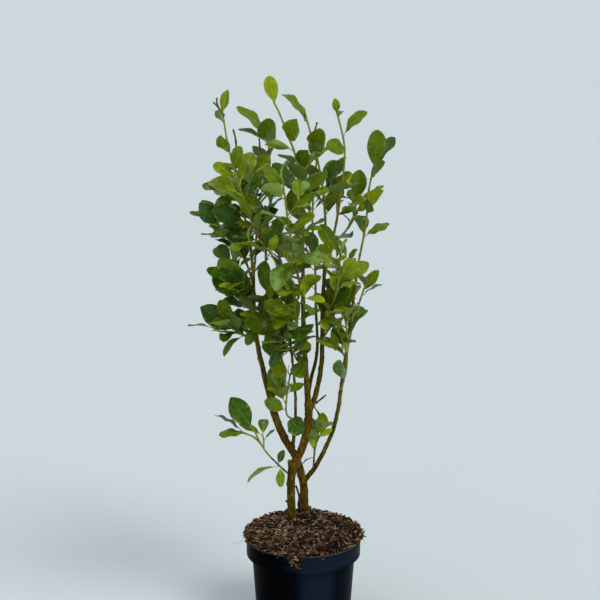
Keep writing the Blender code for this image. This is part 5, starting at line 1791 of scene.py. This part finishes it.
class BROADLEAF_OT_leaves(bpy.types.Operator):
    """Dress each mass in its leaves: wavy blades, stalks and midribs, painted by age, with painted
    shade and painted highlights
    """
    bl_idname = "broadleaf.leaves"
    bl_label = "Leaves"

    def execute(self, context):
        leaves = context.scene.broadleaf_leaves
        materials = [leaf_cuticle(tone + "_leaf_cuticle", getattr(leaves, tone))
                     for tone in ("young", "fresh", "green", "deep", "bluish")]
        materials += [painted_sheen_cuticle("shiny_leaf_cuticle", leaves.green, leaves.shiny),
                      leaf_underside("leaf_underside", leaves.underside),
                      leaf_underside("pale_leaf_underside", leaves.pale_underside),
                      leaf_rib("leaf_midrib", leaves.midrib),
                      leaf_rib("pale_leaf_midrib", leaves.pale_midrib)]
        for growth in grown(context)[1]:
            add_piece(growth.mass.name + "_leaves", mass_leaves(growth, leaves), materials,
                      [growth.mass.name])
        return {"FINISHED"}


# Stage.

ROOM_LIGHT = 0.45
Lamp = namedtuple("Lamp", "name direction spread_deg strength colour")
LAMPS = (
    Lamp("key_lamp", (1.1, -1.0, 1.7), 30, 1.6, (1.0, 0.985, 0.95)),
    Lamp("fill_lamp", (-1.0, -0.7, 1.6), 90, 0.8, (0.95, 0.98, 1.0)),
    Lamp("low_lamp", (1.0, -1.15, 0.12), 14, 0.45, (0.88, 0.95, 1.0)),
    Lamp("top_lamp", (-0.3, 0.9, 1.2), 24, 0.40, (0.90, 0.96, 1.0)),
)
# The photograph's view, worked out from the pot's rim and the plant's height.
CAMERA_PLACE = (-0.005, -2.10, 0.937)
CAMERA_PITCH_DEG = 12.2
CAMERA_SENSOR_MM = 36.0
CAMERA_FAR_END = 300
FOCAL_LENGTH_PX = 1518
PHOTO_WIDTH_PX = 600


class StageSettings(bpy.types.PropertyGroup):
    floor_size: length("Floor size", "Side of the square floor", 240.0)
    floor: tint("Floor", "Pale matt floor", "C6CFD2")
    sky: tint("Room light", "Soft light from all round", "F1F8FC")


def hang_lamp(lamp):
    """Hang a broad soft lamp, far off in its direction, that lights plant and floor alike."""
    light = bpy.data.lights.new(lamp.name, "SUN")
    light.angle = math.radians(lamp.spread_deg)
    light.energy = lamp.strength
    light.color = lamp.colour
    holder = bpy.data.objects.new(lamp.name, light)
    holder.rotation_euler = Vector(lamp.direction).to_track_quat("Z", "Y").to_euler()
    bpy.context.scene.collection.objects.link(holder)


def lay_floor(stage):
    half = stage.floor_size / 2
    mesh = bpy.data.meshes.new("floor")
    mesh.from_pydata([(-half, -half, 0), (half, -half, 0), (half, half, 0), (-half, half, 0)],
                     [], [(0, 1, 2, 3)])
    mesh.materials.append(finish_material(
        "matt_floor_paint", 0.9, mottled(stage.floor, shade(stage.floor, 0.985), 900.0)))
    floor = bpy.data.objects.new("floor", mesh)
    bpy.context.scene.collection.objects.link(floor)


def stand_camera():
    camera = bpy.data.objects.new("camera", bpy.data.cameras.new("camera"))
    camera.location = CAMERA_PLACE
    camera.rotation_euler = (math.radians(90 - CAMERA_PITCH_DEG), 0, 0)
    camera.data.sensor_width = CAMERA_SENSOR_MM
    camera.data.lens = FOCAL_LENGTH_PX / PHOTO_WIDTH_PX * CAMERA_SENSOR_MM
    camera.data.clip_end = CAMERA_FAR_END
    bpy.context.scene.collection.objects.link(camera)
    bpy.context.scene.camera = camera


class BROADLEAF_OT_stage(bpy.types.Operator):
    """Lay the pale floor, hang the soft lamps and stand the camera"""
    bl_idname = "broadleaf.stage"
    bl_label = "Floor, lamps and camera"

    def execute(self, context):
        stage = context.scene.broadleaf_stage
        lay_floor(stage)
        world = bpy.data.worlds.new("studio")
        world.use_nodes = True
        background = world.node_tree.nodes["Background"]
        background.inputs["Color"].default_value = (*stage.sky, 1)
        background.inputs["Strength"].default_value = ROOM_LIGHT
        context.scene.world = world
        context.scene.view_settings.view_transform = "Standard"
        for lamp in LAMPS:
            hang_lamp(lamp)
        stand_camera()
        return {"FINISHED"}


# Panel and registration.

OPERATORS = (BROADLEAF_OT_pot, BROADLEAF_OT_potting_mix, BROADLEAF_OT_limbs,
             BROADLEAF_OT_twigs, BROADLEAF_OT_leaves, BROADLEAF_OT_stage)
SETTINGS = {
    "broadleaf_pot": PotSettings,
    "broadleaf_mix": MixSettings,
    "broadleaf_bark": BarkSettings,
    "broadleaf_twigs": TwigSettings,
    "broadleaf_leaves": LeafSettings,
    "broadleaf_stage": StageSettings,
}


class BROADLEAF_PT_panel(bpy.types.Panel):
    """Lists the plant's pieces and the sizes and colours of each"""
    bl_label = "Potted broadleaf"
    bl_idname = "BROADLEAF_PT_panel"
    bl_space_type = "VIEW_3D"
    bl_region_type = "UI"
    bl_category = "Broadleaf"

    def draw(self, context):
        for operator in OPERATORS:
            self.layout.operator(operator.bl_idname)
        for name, settings in SETTINGS.items():
            box = self.layout.box()
            for field in settings.__annotations__:
                box.prop(getattr(context.scene, name), field)


def register():
    for listed in (*SETTINGS.values(), *OPERATORS, BROADLEAF_PT_panel):
        bpy.utils.register_class(listed)
    for name, settings in SETTINGS.items():
        setattr(bpy.types.Scene, name, PointerProperty(type=settings))


def unregister():
    for name in SETTINGS:
        delattr(bpy.types.Scene, name)
    for listed in reversed((*SETTINGS.values(), *OPERATORS, BROADLEAF_PT_panel)):
        bpy.utils.unregister_class(listed)


def main():
    register()
    bpy.ops.broadleaf.pot()
    bpy.ops.broadleaf.potting_mix()
    bpy.ops.broadleaf.limbs()
    bpy.ops.broadleaf.twigs()
    bpy.ops.broadleaf.leaves()
    bpy.ops.broadleaf.stage()


if __name__ == "__main__":
    main()
